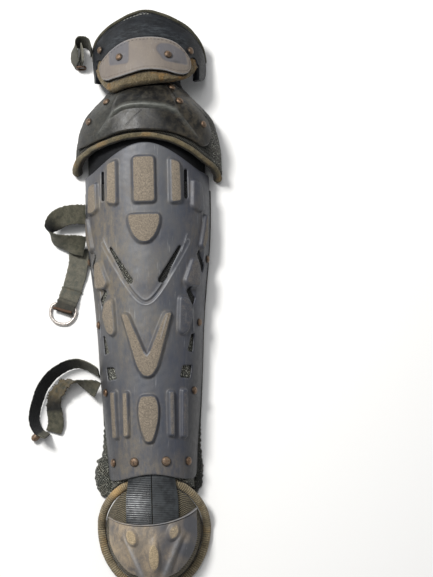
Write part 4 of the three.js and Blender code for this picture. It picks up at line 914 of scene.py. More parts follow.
def make_shin_liner():
    lips = np.linspace(1.04, 1.16, 9)
    sides = np.concatenate([-lips[::-1], np.linspace(-1, 1, 91), lips])
    rows = 190
    side, row = np.meshgrid(sides, np.linspace(0, 1, rows))
    x_low = (shin_form.section(0)[0] - 2 * SHELL_WALL) * np.sin(side * math.pi / 2)
    lowest = np.maximum(LINER_BOTTOM, toe_arch(x_low) + 3 * GAP)
    lowest = np.where(np.abs(side) > 1, LINER_BOTTOM, lowest)
    y = lowest + (LINER_TOP - lowest) * row
    under_strap = (np.abs(side) <= 0.57) & (y < 0.12 * SHIN_LENGTH)
    room = np.where(under_strap, STRAP_THICKNESS + 2 * GAP, 0)
    outer = shin_form.point(np.clip(side, -1, 1), y, -(SHELL_WALL + GAP + room))
    inner = shin_form.point(np.clip(side, -1, 1), y, -(SHELL_WALL + GAP + room) - LINER_THICKNESS)
    width = shin_form.section(y)[0]
    step = np.clip((np.abs(side) - lips[0]) / (lips[-1] - lips[0]), 0, 1)
    flares = [table_value(ANKLE_FLARE[:, 0], ANKLE_FLARE[:, column], y / SHIN_LENGTH) for column in (1, 2)]
    flare = np.where(side < 0, *flares)
    under = width - SHELL_WALL - GAP
    ragged = (0.8 * ripple(y, side * 20, 7, 21) + 0.5 * ripple(y, side * 20, 2.5, 23)) * step * (y < 60)
    place, half_width, reach = TORN_CORNER
    ragged = ragged + reach * near(np.abs(y - place), half_width) * step ** 3 * (side < 0)
    out = width + FOOT_LIP + flare + ragged
    fold = 0.7 * ripple(y, step * 14, 26, 22)
    foot_x = np.sign(side) * (under + 1.2 + (out - under - 1.2) * step)
    foot_z = 8.2 - 4.0 * step ** 1.5 + fold * step
    foot = np.abs(side) > 1
    edge_drop = np.clip((step - 0.86) / 0.14, 0, 1) ** 2
    outer[foot] = np.stack([foot_x, y, np.clip(foot_z - 3.4 * edge_drop, 0.7, None)], axis=-1)[foot]
    inner_x = np.sign(side) * (under - LINER_THICKNESS + (out - under + LINER_THICKNESS - 0.6) * step)
    inner[foot] = np.stack([inner_x, y, np.full(y.shape, 0.25)], axis=-1)[foot]
    upper_slots = (np.abs(side) < 1) * smooth((y - 0.4 * SHIN_LENGTH) / 8)
    shade = 0.9 * upper_slots * np.where((side < 0) & (y < 0.7 * SHIN_LENGTH), 0.35, 1.0)
    shade = shade + 0.3 * (side < -1) * (y > 60) + 0.6 * smooth((side - 0.99) / 0.02)
    across = np.where(foot, np.sign(side) * (SHIN_GIRTH + step * 22), side * SHIN_GIRTH)
    obj = slab("shin_liner_mesh", outer, inner, {
        "along": y, "across": across, "shade": shade, "glint": (1 - shade) * np.where(foot, 0.6, 1.0)})
    return dress(obj, "mesh", shin_mesh, "shin_liner")


# Rivets
def make_rivet(name, centre, normal, radius, dust, darkness, seed):
    """A domed head with a flat collar darkened by painted shade, a little uneven."""
    # Shares of the radius and of the height, and how much painted shade each ring gets
    profile = [(1.0, 0.0), (1.0, 0.18), (0.95, 0.3), (0.86, 0.34), (0.8, 0.62), (0.62, 0.88), (0.34, 0.98)]
    collar = [0.9, 0.85, 0.8, 0.75, 0.1, 0.0, 0.0]
    sides = 28
    turns = np.linspace(0, 2 * math.pi, sides, endpoint=False)
    normal = np.asarray(normal, float) / np.linalg.norm(normal)
    first = np.cross(normal, [0, 1, 0])
    first /= np.linalg.norm(first)
    second = np.cross(normal, first)
    rings = []
    for share, rise in profile:
        reach = radius * share * (1 + 0.025 * ripple(turns, turns * 0, 2.0, seed))
        dent = 1 - 0.06 * ripple(turns, turns * 0 + rise, 3.0, seed + 5)
        rings.append(centre + normal * (rise * RIVET_HEIGHT * dent)[:, None]
                     + first * (np.cos(turns) * reach)[:, None] + second * (np.sin(turns) * reach)[:, None])
    points = np.concatenate(rings + [[centre + normal * RIVET_HEIGHT]])
    count = len(rings)
    faces = ring_faces(count, sides)[:, [1, 0, 3, 2]].tolist()
    top = count * sides
    last = range(top - sides, top)
    faces += [[beside, corner, top] for corner, beside in zip(last, [*last[1:], last[0]])]
    faces.append(list(range(sides)))
    levels = np.repeat([dust * (1.3 - 0.5 * k / count) for k in range(count)], sides)
    shade = np.repeat([max(darkness, c * 0.85) for c in collar], sides)
    obj = make_object(name + "_head", points, faces, {
        "dust": np.append(levels, dust * 0.6), "shade": np.append(shade, darkness)})
    return dress(obj, "rivet", copper, name)


def rivet_row(prefix, form, seats, lift):
    """seats: side share, share along, radius share, dust, darkness as painted shade, and an own lift where
    it has one.
    """
    rise = form.section(form.start + form.length * seats[0][1])[1]
    seat_lift = lift + GAP / 2 + RIVET_RADIUS ** 2 / (2 * rise) / 2
    for i, (side, along, share, dust, darkness, *own_lift) in enumerate(seats):
        y = form.start + form.length * along
        centre = form.point(side, y, own_lift[0] if own_lift else seat_lift)
        ahead = form.point(side, y + 4, seat_lift) - form.point(side, y - 4, seat_lift)
        across = form.point(side + 0.02, y, seat_lift) - form.point(side - 0.02, y, seat_lift)
        normal = np.cross(across, ahead)
        make_rivet(f"{prefix}_{i + 1}", centre, normal, RIVET_RADIUS * share, dust, darkness, i + 3)


# Knee, as shares of its length: side share, shell low edge, shell high edge, liner low edge
KNEE_OUTLINE = np.array([
    (-1.0, 0.3, 0.34, 0.117), (-0.72, 0.3, 0.45, 0.2), (-0.66, 0.295, 0.54, 0.217),
    (-0.58, 0.29, 0.63, 0.233), (-0.54, 0.293, 0.72, 0.25), (-0.4, 0.318, 0.79, 0.275),
    (-0.2, 0.362, 0.85, 0.317), (0.0, 0.371, 0.9, 0.329), (0.2, 0.355, 0.935, 0.292),
    (0.4, 0.293, 0.945, 0.208), (0.5, 0.245, 0.9, 0.155), (0.56, 0.262, 0.83, 0.125),
    (0.6, 0.3, 0.71, 0.108), (0.63, 0.36, 0.59, 0.095), (0.65, 0.41, 0.49, 0.09), (1.0, 0.41, 0.49, 0.01),
])
KNEE_ENDS = (-0.72, 0.65)
KNEE_LINER_TOP = KNEE_START + KNEE_LENGTH - 8
KNEE_STITCH_INSETS = (4.5, 9.0, 13.0)
# Above this height the knee's liner lies in the shell's shade
KNEE_SHADE_LINE = 430
# The raised panel's lower edge: side share, share of the knee's length
KNEE_LEDGE = np.array([(-0.5, 0.42), (-0.39, 0.475), (-0.283, 0.55), (-0.191, 0.609), (-0.048, 0.624),
                       (0.105, 0.609), (0.216, 0.589), (0.33, 0.52), (0.5, 0.42)])
# The raised panel of the knee cap: side share where it ends, then heights in millimetres
PANEL = {"side": 0.31, "rise": 3.1, "crest": 0.9, "hollow": 0.8, "flank_ridge": 1.2, "seam": 0.4}
# Cracks as points: distance from the ridge along the skin, height along the guard
KNEE_CRACKS = [[(8, 472), (2, 462), (-5, 450)], [(1, 465), (-3, 455)], [(-2, 434), (-8, 426), (-14, 416)],
               [(24, 425), (30, 416)], [(-42, 470), (-40, 452)], [(46, 448), (58, 430)]]


def knee_edge(column):
    keys, values = KNEE_OUTLINE[:, 0], KNEE_OUTLINE[:, column]
    return lambda side: KNEE_START + KNEE_LENGTH * table_value(keys, values, side)


def make_knee_shell():
    side, row, x, y, low, high = spread(knee_form, KNEE_ENDS, knee_edge(1), knee_edge(2), 130, 180)
    ledge = KNEE_START + KNEE_LENGTH * table_value(KNEE_LEDGE[:, 0], KNEE_LEDGE[:, 1], side)
    inside = smooth((PANEL["side"] - np.abs(side)) / 0.05)
    panel = smooth((y - ledge + 4) / 7) * inside * smooth((0.96 - row) / 0.07)
    crest = bell(y - ledge - 1.5, 3.2) * smooth((0.36 - np.abs(side)) / 0.12)
    hollow = bell(y - ledge - 9, 5) * inside
    ridge_x = 44 + (ledge - y) * 1.2
    ridge = bell(np.abs(x) - ridge_x, 5) * smooth((ledge + 4 - y) / 10) * smooth((y - low - 3) / 8)
    lift = PANEL["rise"] * panel + PANEL["crest"] * crest
    lift = lift - PANEL["hollow"] * hollow + PANEL["flank_ridge"] * ridge
    seam = bell(np.abs(side) - PANEL["side"], 0.008) * smooth((y - ledge) / 8)
    girth = 0.9 * KNEE_HALF_WIDTH * math.pi / 2
    rim = np.minimum.reduce([row * (high - low), (1 - row) * (high - low),
                             (side - KNEE_ENDS[0]) * girth, (KNEE_ENDS[1] - side) * girth])
    lift = lift + 0.3 * ripple(x, y, 34, 11) - PANEL["seam"] * seam - 1.2 * near(rim, 2.0) ** 2
    crack = np.zeros(x.shape)
    for line in KNEE_CRACKS:
        distance, _, _ = outline_distance(x * 0.62, y, np.array(line, float), closed=False)
        crack = np.maximum(crack, np.clip(1.1 - distance / 0.6, 0, 1))
    lift = lift - 0.4 * crack
    dust = 0.6 * bell(x - 62, 20) + 0.5 * bell(x - 38, 12) * bell(y - 450, 10)
    dust = dust + 0.25 + 0.35 * near(rim, 3)
    # Painted highlight with some wear: a pale band along the panel's crest, lighter flank ridges and a
    # lighter left side.
    wear_and_highlight = 0.85 * crest + 0.3 * ridge + 0.25 * bell(x + 60, 20)
    outer = knee_form.point(side, y, KNEE_SHELL_LIFT + SHELL_WALL + lift - 0.1)
    inner = knee_form.point(side, y, KNEE_SHELL_LIFT)
    obj = slab("knee_shell_skin", outer, inner, {"dust": dust, "wear_and_highlight": wear_and_highlight, "crack": crack})
    return dress(obj, "knee_shell", knee_material, "knee_shell")


def hem_radius(side):
    return KNEE_HEM_RADIUS + 1.6 * smooth((np.abs(side) - 0.5) / 0.5)


def above_hem(side):
    return knee_edge(3)(side) + (hem_radius(side) + GAP) * 1.12


def make_knee_liner():
    side, row, x, y, start, _ = spread(knee_form, (-1, 1), above_hem, lambda _: KNEE_LINER_TOP, 80, 150)
    stitch = sum(bell(y - start - inset, 0.9) for inset in KNEE_STITCH_INSETS)
    puff = 0.5 * ripple(x, y, 24, 31) + 0.25 * ripple(x, y, 5, 32) - 1.0 * np.clip(stitch, 0, 1)
    outer = knee_form.point(side, y, -0.6 + puff * (row > 0.02))
    inner = knee_form.point(side, y, -KNEE_LINER_THICKNESS)
    glint = 0.9 * smooth((side - 0.62) / 0.08) * smooth((KNEE_SHADE_LINE - y) / 12)
    shade = 0.45 * smooth((y - KNEE_SHADE_LINE) / 20) + 0.4 * np.clip(stitch, 0, 1)
    obj = slab("knee_liner_mesh", outer, inner, {
        "along": y, "across": x, "glint": glint, "shade": np.clip(shade, 0, 1)})
    return dress(obj, "mesh", knee_mesh, "knee_liner")


def make_knee_hem():
    side = np.linspace(-1, 1, 420)
    points = knee_form.point(side, knee_edge(3)(side), -KNEE_LINER_THICKNESS / 2 + 1)
    points[:, 0] -= 4 * smooth((side - 0.6) / 0.4)
    points[:, 2] = np.maximum(points[:, 2], KNEE_HEM_RADIUS + 2)
    left_fray = 1 + 0.16 * smooth((-0.35 - side) / 0.5)

    def shade(turn):
        return 0.85 * smooth((np.sin(turn) - 0.45) / 0.35) + 0.5 * smooth((-0.75 - np.sin(turn)) / 0.2)

    obj = tube("knee_hem_roll", points, hem_radius(side) * left_fray, 26, bumpiness=0.07, fuzz=0.05,
               seed=41, shade=shade)
    return dress(obj, "binding", hem_tape, "knee_hem")


def make_link(name, node, start, end, y_from, y_to, reach, end_reach, turn, start_lift, end_lift):
    """A thin black cloth that leaves one form and meets the next one."""
    rows, columns = 40, 90
    side, row = np.meshgrid(np.linspace(-1, 1, columns), np.linspace(0, 1, rows))
    y = y_from + (y_to - y_from) * row
    share = smooth((row - turn) / (1 - turn))[..., None]
    skins = []
    for lift in (0.0, -LINK_GAUGE):
        first = start.point(side * reach, y, start_lift + lift)
        last = end.point(side * end_reach, y, end_lift + lift)
        skins.append(first * (1 - share) + last * share)
    obj = slab(name, skins[0], skins[1], {"dust": np.zeros(y.shape)})
    dress(obj, "link", link_cloth, node)
    return obj


# Thigh flap, as shares of its length: side share, top edge
THIGH_TOP = np.array([
    (-1.0, 0.52), (-0.9, 0.62), (-0.77, 0.7), (-0.63, 0.755), (-0.47, 0.825), (-0.34, 0.878),
    (-0.18, 0.948),
    (-0.02, 0.985), (0.2, 0.925), (0.36, 0.857), (0.47, 0.81), (0.61, 0.727), (0.8, 0.61), (1.0, 0.48),
])
# Side share, low edge, high edge
PLATE_OUTLINE = np.array([
    (-0.6, 0.275, 0.31), (-0.57, 0.185, 0.345), (-0.515, 0.13, 0.388), (-0.36, 0.114, 0.489),
    (-0.19, 0.132, 0.559), (-0.03, 0.165, 0.578), (0.09, 0.167, 0.576), (0.2, 0.16, 0.56),
    (0.33, 0.141, 0.51), (0.44, 0.16, 0.415),
    (0.49, 0.205, 0.35), (0.51, 0.25, 0.3),
])
BUMPER_OUTLINE = np.array([
    (-0.745, 0.31, 0.36), (-0.72, 0.23, 0.41), (-0.66, 0.13, 0.42), (-0.6, 0.06, 0.38), (-0.5, -0.01, 0.22),
    (-0.3, 0.0, 0.2), (0.0, 0.02, 0.225), (0.3, 0.065, 0.2), (0.42, 0.1, 0.22), (0.52, 0.14, 0.36),
    (0.6, 0.2, 0.4), (0.65, 0.28, 0.37), (0.67, 0.3, 0.33),
])
PLATE_ENDS = (-0.6, 0.51)
BUMPER_ENDS = (-0.745, 0.67)
# Bluish patches round the plate's rivets, corners as side and length shares
PLATE_PATCHES = [
    (5, [(-0.425, 0.27), (-0.19, 0.25), (-0.18, 0.545), (-0.3, 0.52), (-0.43, 0.45)]),
    (6, [(0.088, 0.422), (0.137, 0.498), (0.255, 0.499), (0.423, 0.407), (0.468, 0.259), (0.187, 0.266)]),
]


# Where the two rivets of the pad pull it in: side share, share of the flap's length
PAD_DIMPLES = ((-0.607, 0.534), (0.521, 0.47))
PAD_STITCH, PLATE_STITCH = 4.4, 4.6


def thigh_edge(rows, column):
    return lambda side: THIGH_START + THIGH_LENGTH * table_value(rows[:, 0], rows[:, column], side)


def thigh_top(side):
    return thigh_edge(THIGH_TOP, 1)(side) - THIGH_PIPING_RADIUS


def above_bumper(side):
    corner = THIGH_START + THIGH_LENGTH * (0.17 + 0.2 * (np.clip(np.abs(side) - 0.72, 0, None) / 0.28) ** 2)
    outside = (side < BUMPER_ENDS[0] - 0.021) | (side > BUMPER_ENDS[1] + 0.021)
    return np.where(outside, corner, thigh_edge(BUMPER_OUTLINE, 2)(side) + 3 * GAP)


def below_piping(side):
    return thigh_top(side) - (THIGH_PIPING_RADIUS + GAP) * 1.05


def make_thigh_pad():
    side, row, x, y, low, top = spread(thigh_form, (-1, 1), above_bumper, below_piping, 96, 220)
    from_edge = (1 - row) * (top - low)
    puff = 0.45 * ripple(x, y, 34, 51) - 1.6 * near(from_edge, 5) ** 2
    groove = bell(from_edge - 4.5, 0.8)
    dimple = 0.0
    for across, along in PAD_DIMPLES:
        reach = np.hypot(x - across * THIGH_HALF_WIDTH * math.pi / 2, y - THIGH_START - along * THIGH_LENGTH)
        dimple = dimple + 1 - smooth((reach - 4) / 9)
    outer = thigh_form.point(side, y, -0.55 + puff - 0.5 * groove - 0.3 * dimple)
    inner = thigh_form.point(side, y, -THIGH_PAD_THICKNESS)
    plate_top = thigh_edge(PLATE_OUTLINE, 2)(np.clip(side, *PLATE_ENDS))
    dust = 0.7 * bell(from_edge - 26, 9) * smooth((0.6 - np.abs(side)) / 0.2)
    dust = dust + 0.5 * smooth((-x - 70) / 40)
    shade = 0.6 * near(np.abs(y - plate_top - 1.5), 3.0) + 0.35 * dimple
    dashes = (np.sin(x * 2 * math.pi / PAD_STITCH) > -0.35) * bell(from_edge - 2.2, 0.5)
    stitch = dashes * smooth((x + 34) / 4) * smooth((6 - x) / 4)
    obj = slab("thigh_pad_cloth", outer, inner, {
        "dust": dust, "shade": np.clip(shade, 0, 0.9), "stitch": stitch})
    return dress(obj, "thigh_pad", pad_cloth, "thigh_pad")


def make_thigh_piping():
    side = np.linspace(-0.98, 0.98, 320)
    points = thigh_form.point(side, thigh_top(side), -THIGH_PIPING_RADIUS)
    obj = tube("thigh_piping_cord", points, THIGH_PIPING_RADIUS, 16, bumpiness=0.08, fuzz=0.05, seed=52)
    return dress(obj, "piping", pad_piping, "thigh_piping")


def make_thigh_bumper():
    edges = thigh_edge(BUMPER_OUTLINE, 1), thigh_edge(BUMPER_OUTLINE, 2)
    side, row, x, y, _, _ = spread(thigh_form, BUMPER_ENDS, *edges, 56, 220)
    bulge = 2.5 * np.sin(math.pi * np.minimum(1, row * 1.1 + 0.2)) - 2.5
    roll = -4.5 * near(row, 0.16) ** 2
    uneven = (0.45 * ripple(x, y, 12, 61) + 0.3 * ripple(x, y, 3.0, 62)) * np.minimum(1, row * 6)
    outer = thigh_form.point(side, y, bulge + roll + uneven - 0.3)
    inner = thigh_form.point(side, y, -THIGH_PAD_THICKNESS)
    plate_low = thigh_edge(PLATE_OUTLINE, 1)(np.clip(side, *PLATE_ENDS))
    shade = 0.95 * np.clip(1.2 - np.abs(y - plate_low + 0.8) / 2.6, 0, 1)
    ends = (side > PLATE_ENDS[0] - 0.02) & (side < PLATE_ENDS[1] + 0.02)
    obj = slab("thigh_bumper_roll", outer, inner, {
        "along": x, "across": y, "shade": np.where(ends, shade, 0.0)})
    return dress(obj, "bumper", bumper_cloth, "thigh_bumper")


def make_thigh_plate():
    edges = thigh_edge(PLATE_OUTLINE, 1), thigh_edge(PLATE_OUTLINE, 2)
    side, row, x, y, low, high = spread(thigh_form, PLATE_ENDS, *edges, 100, 200)
    girth = THIGH_HALF_WIDTH * math.pi / 2
    ends = np.minimum(side - PLATE_ENDS[0], PLATE_ENDS[1] - side) * girth
    rim = np.minimum(np.minimum(row, 1 - row) * (high - low), ends)
    patch = np.zeros(x.shape)
    for radius, corners in PLATE_PATCHES:
        places = [(across * girth, THIGH_START + along * THIGH_LENGTH) for across, along in corners]
        distance, _, _ = outline_distance(x, y, softened(places, radius))
        patch = np.maximum(patch, smooth((1.6 - distance) / 3.0))
    lift = -0.9 * near(rim, 1.6) ** 2 + 0.3 * ripple(x, y, 45, 71) - 0.6 * patch
    line = bell(rim - 3.4, 0.55)
    dashes = np.sin(x * 2 * math.pi / PLATE_STITCH + np.sin(x / 9)) > -0.1
    upper = row > 0.5
    lift = lift - 0.4 * line
    dark = 0.75 * line * dashes * np.where(upper, 1.0, 0.35)
    dark = np.maximum(dark, 0.5 * patch * bell(x - 36, 5) * bell(y - 497, 3))
    outer = thigh_form.point(side, y, 2 * GAP + THIGH_PLATE_WALL + lift)
    inner = thigh_form.point(side, y, 2 * GAP)
    obj = slab("thigh_plate_skin", outer, inner, {
        "dust": 0.7 - 0.5 * patch, "cool": 0.85 * patch, "dark": dark,
        "pale": 0.7 * np.clip(1.15 - rim / 1.1, 0, 1)})
    return dress(obj, "thigh_plate", plate_plastic, "thigh_plate")


# Toe cap
def toe_shell_place(side, row, lift):
    angle = side * math.pi / 2
    start = np.arcsin(np.minimum(1, TOE_RIM_HEIGHT / np.cos(angle))) * 2 / math.pi
    share = side / TOE_RIM_SIDE
    dip = 4.5 + 14 * share ** 2 + 4 * share
    end = 1 + dip / (TOE_ABOVE * np.cos(angle))
    return toe_point(side, start + (end - start) * row, lift)


# Bumps on the toe as shares: across, below the middle, half width, half length, then turn and wear
TOE_BUMPS = [(-0.414, -0.14, 0.103, 0.14, 0.35, 1.0), (0.414, -0.066, 0.103, 0.14, -0.35, 0.6),
             (0.017, -0.478, 0.112, 0.25, 0.0, 1.0)]
TOE_BUMP_RISE = 3.7
# Folds in the toe from the upper to the lower end: x above, x below, depth
TOE_FOLDS = [(-41, -19, -2.2), (-34, -10, 1.7), (41, 18, -2.2), (33, 9, 1.6)]


def make_toe_shell():
    rows, columns = 150, 180
    sides = np.linspace(-TOE_SHELL_SIDE, TOE_SHELL_SIDE, columns)
    side, row = np.meshgrid(sides, np.linspace(0, 1, rows))
    flat = toe_shell_place(side, row, TOE_SHELL_LIFT + SHELL_WALL)
    x, y = flat[..., 0], flat[..., 1]
    lift = np.zeros(x.shape)
    wear_and_highlight = np.zeros(x.shape)
    for centre_x, centre_y, half_width, half_length, turn, amount in TOE_BUMPS:
        dx = x - centre_x * TOE_HALF_WIDTH
        dy = y - TOE_MIDDLE - centre_y * TOE_BELOW
        u = (dx * math.cos(turn) + dy * math.sin(turn)) / (half_width * TOE_HALF_WIDTH)
        v = (-dx * math.sin(turn) + dy * math.cos(turn)) / (half_length * TOE_BELOW)
        reach = np.hypot(u, v)
        lift = np.maximum(lift, TOE_BUMP_RISE * smooth((1.4 - reach) / 0.7))
        wear_and_highlight = np.maximum(wear_and_highlight, amount * smooth((1.1 - reach) / 0.5))
    pale = np.zeros(x.shape)
    for x_top, x_low, depth in TOE_FOLDS:
        share = np.clip((-68 - y) / 55, 0, 1)
        path = x_top + (x_low - x_top) * share
        reach = smooth((-66 - y) / 12) * smooth((y + 128) / 18) * (wear_and_highlight < 0.3)
        fold = bell(x - path, 3.4) * reach
        lift = lift + depth * fold
        # Painted highlight along the raised folds.
        if depth > 0:
            pale = np.maximum(pale, 0.4 * bell(x - path, 2.4) * reach)
    rim = np.minimum(row * TOE_SHELL_SPAN, (TOE_SHELL_SIDE - np.abs(side)) * TOE_GIRTH)
    upper = (1 - row) * TOE_SHELL_SPAN
    roll = bell(upper - 1.5, 1.3)
    lift = lift - 0.9 * near(rim, 1.5) ** 2 + 1.3 * roll - 0.7 * bell(upper - 4.4, 1.0)
    lift = lift - 1.2 * near(upper, 0.8) ** 2 + 0.3 * ripple(x, y, 30, 81) + 0.08 * ripple(x, y, 7, 83)
    # Pale on the rolled upper edge and along the rim: partly wear, partly painted highlight.
    pale = np.maximum(pale, 0.5 * roll)
    pale = np.maximum(pale, 0.5 * near(rim, 1.3))
    # Painted shadow: a dark line under the rolled edge.
    dark = 0.8 * bell(upper - 4.2, 0.7)
    dust = 0.5 + 0.6 * bell(x + 34, 24) + 0.4 * ripple(x, y, 26, 82) - 0.35 * smooth((x - 14) / 20)
    # Painted shade: cooler towards the right.
    cool = 0.8 * smooth((x - 12) / 22)
    outer = toe_shell_place(side, row, TOE_SHELL_LIFT + SHELL_WALL + lift)
    inner = toe_shell_place(side, row, TOE_SHELL_LIFT)
    obj = slab("toe_shell_skin", outer, inner, {
        "dust": np.clip(dust, 0, 1), "wear_and_highlight": wear_and_highlight, "pale": pale, "dark": dark, "cool": cool})
    return dress(obj, "toe_shell", toe_plastic, "toe_shell")


def make_toe_piping():
    side = np.linspace(-1, 1, 200) * TOE_RIM_SIDE * 0.975
    points = toe_shell_place(side, -0.03, TOE_SHELL_LIFT / 2)
    obj = tube("toe_piping_cord", points, TOE_PIPING_RADIUS, 14, bumpiness=0.1, fuzz=0.08, seed=83)
    return dress(obj, "piping", pale_piping, "toe_piping")


def make_toe_liner():
    rows, columns = 100, 120
    side, row = np.meshgrid(np.linspace(-0.97, 0.97, columns), np.linspace(0, 2, rows))
    middle = smooth((0.97 - np.abs(side)) / 0.12) * smooth(row / 0.15)
    puff = 0.15 + (0.35 * ripple(side * 90, row * 60, 20, 84) - 0.55) * middle
    outer = toe_point(side, row, puff)
    inner = toe_point(side, row, -TOE_LINER_THICKNESS)
    obj = slab("toe_liner_mesh", outer, inner, {"along": row * 60, "across": side * 90})
    return dress(obj, "mesh", toe_mesh, "toe_liner")


def make_toe_binding():
    away = TOE_BINDING_RADIUS + GAP
    angle = np.linspace(0, 2 * math.pi, 420, endpoint=False)
    upper = np.cos(angle) > 0
    reach = np.where(upper, TOE_ABOVE, TOE_BELOW) + away
    crown = TOE_CROWN - TOE_LINER_THICKNESS / 2 - GAP - TOE_BINDING_RADIUS
    rise = np.where(upper, crown * np.cos(angle), 0)
    points = np.stack([(TOE_HALF_WIDTH + away) * np.sin(angle), TOE_MIDDLE + reach * np.cos(angle),
                       TOE_BINDING_RADIUS + rise], axis=-1)
    turned = np.where(angle > math.pi, angle - 2 * math.pi, angle)
    # Painted highlight: a warm, lit patch on the binding's upper left.
    warm_highlight = 0.75 * bell(turned + 0.72, 0.14)
    obj = tube("toe_binding_roll", points, TOE_BINDING_RADIUS * 0.97, 26, closed=True, bumpiness=0.04,
               fuzz=0.03, seed=85, warm_highlight=warm_highlight)
    return dress(obj, "binding", toe_tape, "toe_binding")


def make_ankle_strap(direction, name, material, worn_and_lit):
    rows, columns = 100, 40
    share = np.linspace(-1, 0, columns) if direction < 0 else np.linspace(0, 1, columns)
    x, y = np.meshgrid(direction * ANKLE_STRAP_SPACE + share * ANKLE_STRAP_WIDTH,
                       np.linspace(TOE_MIDDLE - 2, 0.06 * SHIN_LENGTH, rows))
    skins = []
    rim = np.minimum(np.abs(x - x[:, :1]), np.abs(x - x[:, -1:]))
    droop = 0.4 * near(rim, 1.5) ** 2
    for depth in (0.0, STRAP_THICKNESS):
        lift = -SHELL_WALL - GAP - depth - (droop if depth == 0 else 0)
        high = shin_form.point(shin_form.side_at(x, y), y, lift)
        side = np.arcsin(x / (TOE_HALF_WIDTH + GAP)) * 2 / math.pi
        cosine = np.cos(side * math.pi / 2)
        sweep = np.where(y > TOE_MIDDLE, 1 + (y - TOE_MIDDLE) / (TOE_ABOVE * cosine), 0.98)
        low = toe_point(side, sweep, GAP + STRAP_THICKNESS - depth - (droop if depth == 0 else 0))
        blend = smooth((-y - 2) / 30)[..., None]
        mixed = high * (1 - blend) + low * blend
        mixed[..., 1] = y
        skins.append(mixed)
    # Painted highlight: a soft pool on the left strap's ribs; the right strap gets almost none.
    wear_and_highlight = 1.3 * worn_and_lit * bell(y + 34, 15) * bell(x + 20, 14) * (0.8 + 0.4 * ripple(x, y, 8, 91))
    between = np.abs(x) if direction < 0 else np.full(x.shape, 9.0)
    edge = np.clip(1.5 - between / 1.2, 0, 1) * 0.6
    obj = slab(name + "_elastic", skins[0], skins[1], {
        "along": y, "across": x, "wear_and_highlight": np.clip(wear_and_highlight, 0, 1), "edge": edge})
    return dress(obj, "ankle_strap", material, name)


# Routes of the webbing, each row (out, along, height) and the direction of the width. out and height
# are counted in webbing widths, out from the flank beside the anchor, along as a share of the form.
UPPER_STRAP = [
    ((0.032, 0.814, 0.52), (0, 1, 0)), ((0.424, 0.814, 0.68), (0, 1, 0)),
    ((0.944, 0.809, 0.76), (-0.1, 1, 0.1)),
    ((1.464, 0.794, 0.72), (-0.3, 0.8, 0.5)), ((1.784, 0.764, 0.68), (-0.2, 0.4, 0.9)),
    ((1.544, 0.736, 0.68), (0.1, 0.4, 0.9)), ((0.984, 0.7235, 0.68), (0.1, 0.65, 0.75)),
    ((0.504, 0.716, 0.68), (0.15, 0.9, 0.35)), ((0.064, 0.711, 0.6), (0.15, 1, 0.1)),
]
TAIL = [
    ((0.41, 0.706, 0.256), (0.94, -0.34, 0)), ((0.424, 0.668, 0.24), (0.96, -0.25, 0.03)),
    ((0.604, 0.616, 0.136), (0.95, -0.3, 0.04)), ((0.824, 0.573, 0.124), (0.93, -0.36, 0)),
    ((1.024, 0.54, 0.236), (0.93, -0.37, 0)), ((1.244, 0.507, 0.256), (0.93, -0.37, 0)),
]
LOWER_STRAP = [
    ((0.033, 0.312, 0.82), (0.1, 0.3, 1)), ((0.297, 0.325, 0.72), (0.1, 0.3, 1)),
    ((0.657, 0.337, 0.58), (0.1, 0.35, 1)), ((1.177, 0.3455, 0.56), (-0.05, 0.4, 1)),
    ((1.977, 0.329, 0.56), (-0.2, 0.35, 1)), ((2.657, 0.289, 0.56), (-0.35, 0.25, 1)),
    ((3.057, 0.234, 0.56), (-0.4, 0.1, 1)), ((3.217, 0.178, 0.56), (-0.4, -0.05, 1)),
    ((3.017, 0.141, 0.56), (-0.3, -0.25, 1)), ((2.577, 0.1255, 0.56), (0, -0.35, 1)),
]
RETURN_STRAP = [
    ((2.337, 0.138, 0.128), (1, 0.25, 0.1)), ((2.217, 0.166, 0.18), (1, 0.15, 0.15)),
    ((2.257, 0.201, 0.28), (1, 0, 0.25)), ((2.257, 0.236, 0.38), (1, -0.2, 0.35)),
    ((2.017, 0.266, 0.44), (0.7, -0.6, 0.5)), ((1.617, 0.284, 0.48), (0.3, -0.6, 0.8)),
    ((1.177, 0.289, 0.54), (0.15, 0, 1)), ((0.737, 0.279, 0.6), (0.1, 0.5, 0.85)),
    ((0.337, 0.269, 0.66), (0, 0.9, 0.4)), ((0.1, 0.261, 0.7), (-0.09, 1, 0.05)),
]
THIGH_STRAP = [
    ((0.0, 0.6, 0.64), (0.1, 0.3, 1)), ((0.124, 0.709, 0.58), (0.05, 0.3, 1)),
    ((0.564, 0.736, 0.54), (0, 0.3, 1)), ((0.844, 0.682, 0.54), (0.35, 0.2, 1)),
    ((0.884, 0.573, 0.54), (0.5, 0, 1)), ((0.724, 0.464, 0.54), (0.4, -0.2, 1)),
]
THIGH_TAB = [
    ((0.524, 0.694, 0.54), (0.1, 0, 1)), ((0.524, 0.591, 0.54), (0.3, 0, 1)),
    ((0.504, 0.473, 0.54), (0.3, 0, 1)),
]
BUCKLE_LOOP = [(1.724, 0.535, 0.096), (0.644, 0.52, 0.096), (0.664, 0.495, 0.096), (1.024, 0.4735, 0.096),
               (1.544, 0.477, 0.096), (1.844, 0.5, 0.096)]
HOOK_LOOP = [(0.724, 0.445, 0.12), (0.384, 0.445, 0.12), (0.384, 0.445, 0.48), (0.724, 0.445, 0.48)]
SNAP_PLACE = (3.197, 0.125, 0.24)
SNAP = {"radius": 4.4, "straight": 1.5, "turn": 0.857}
BUCKLE_WIRE, BUCKLE_BAR, HOOK_WIRE = 2.0, 1.7, 1.4
BUCKLE_BAR_ENDS = [(1.68, 0.523, 0.36), (0.8, 0.506, 0.36)]


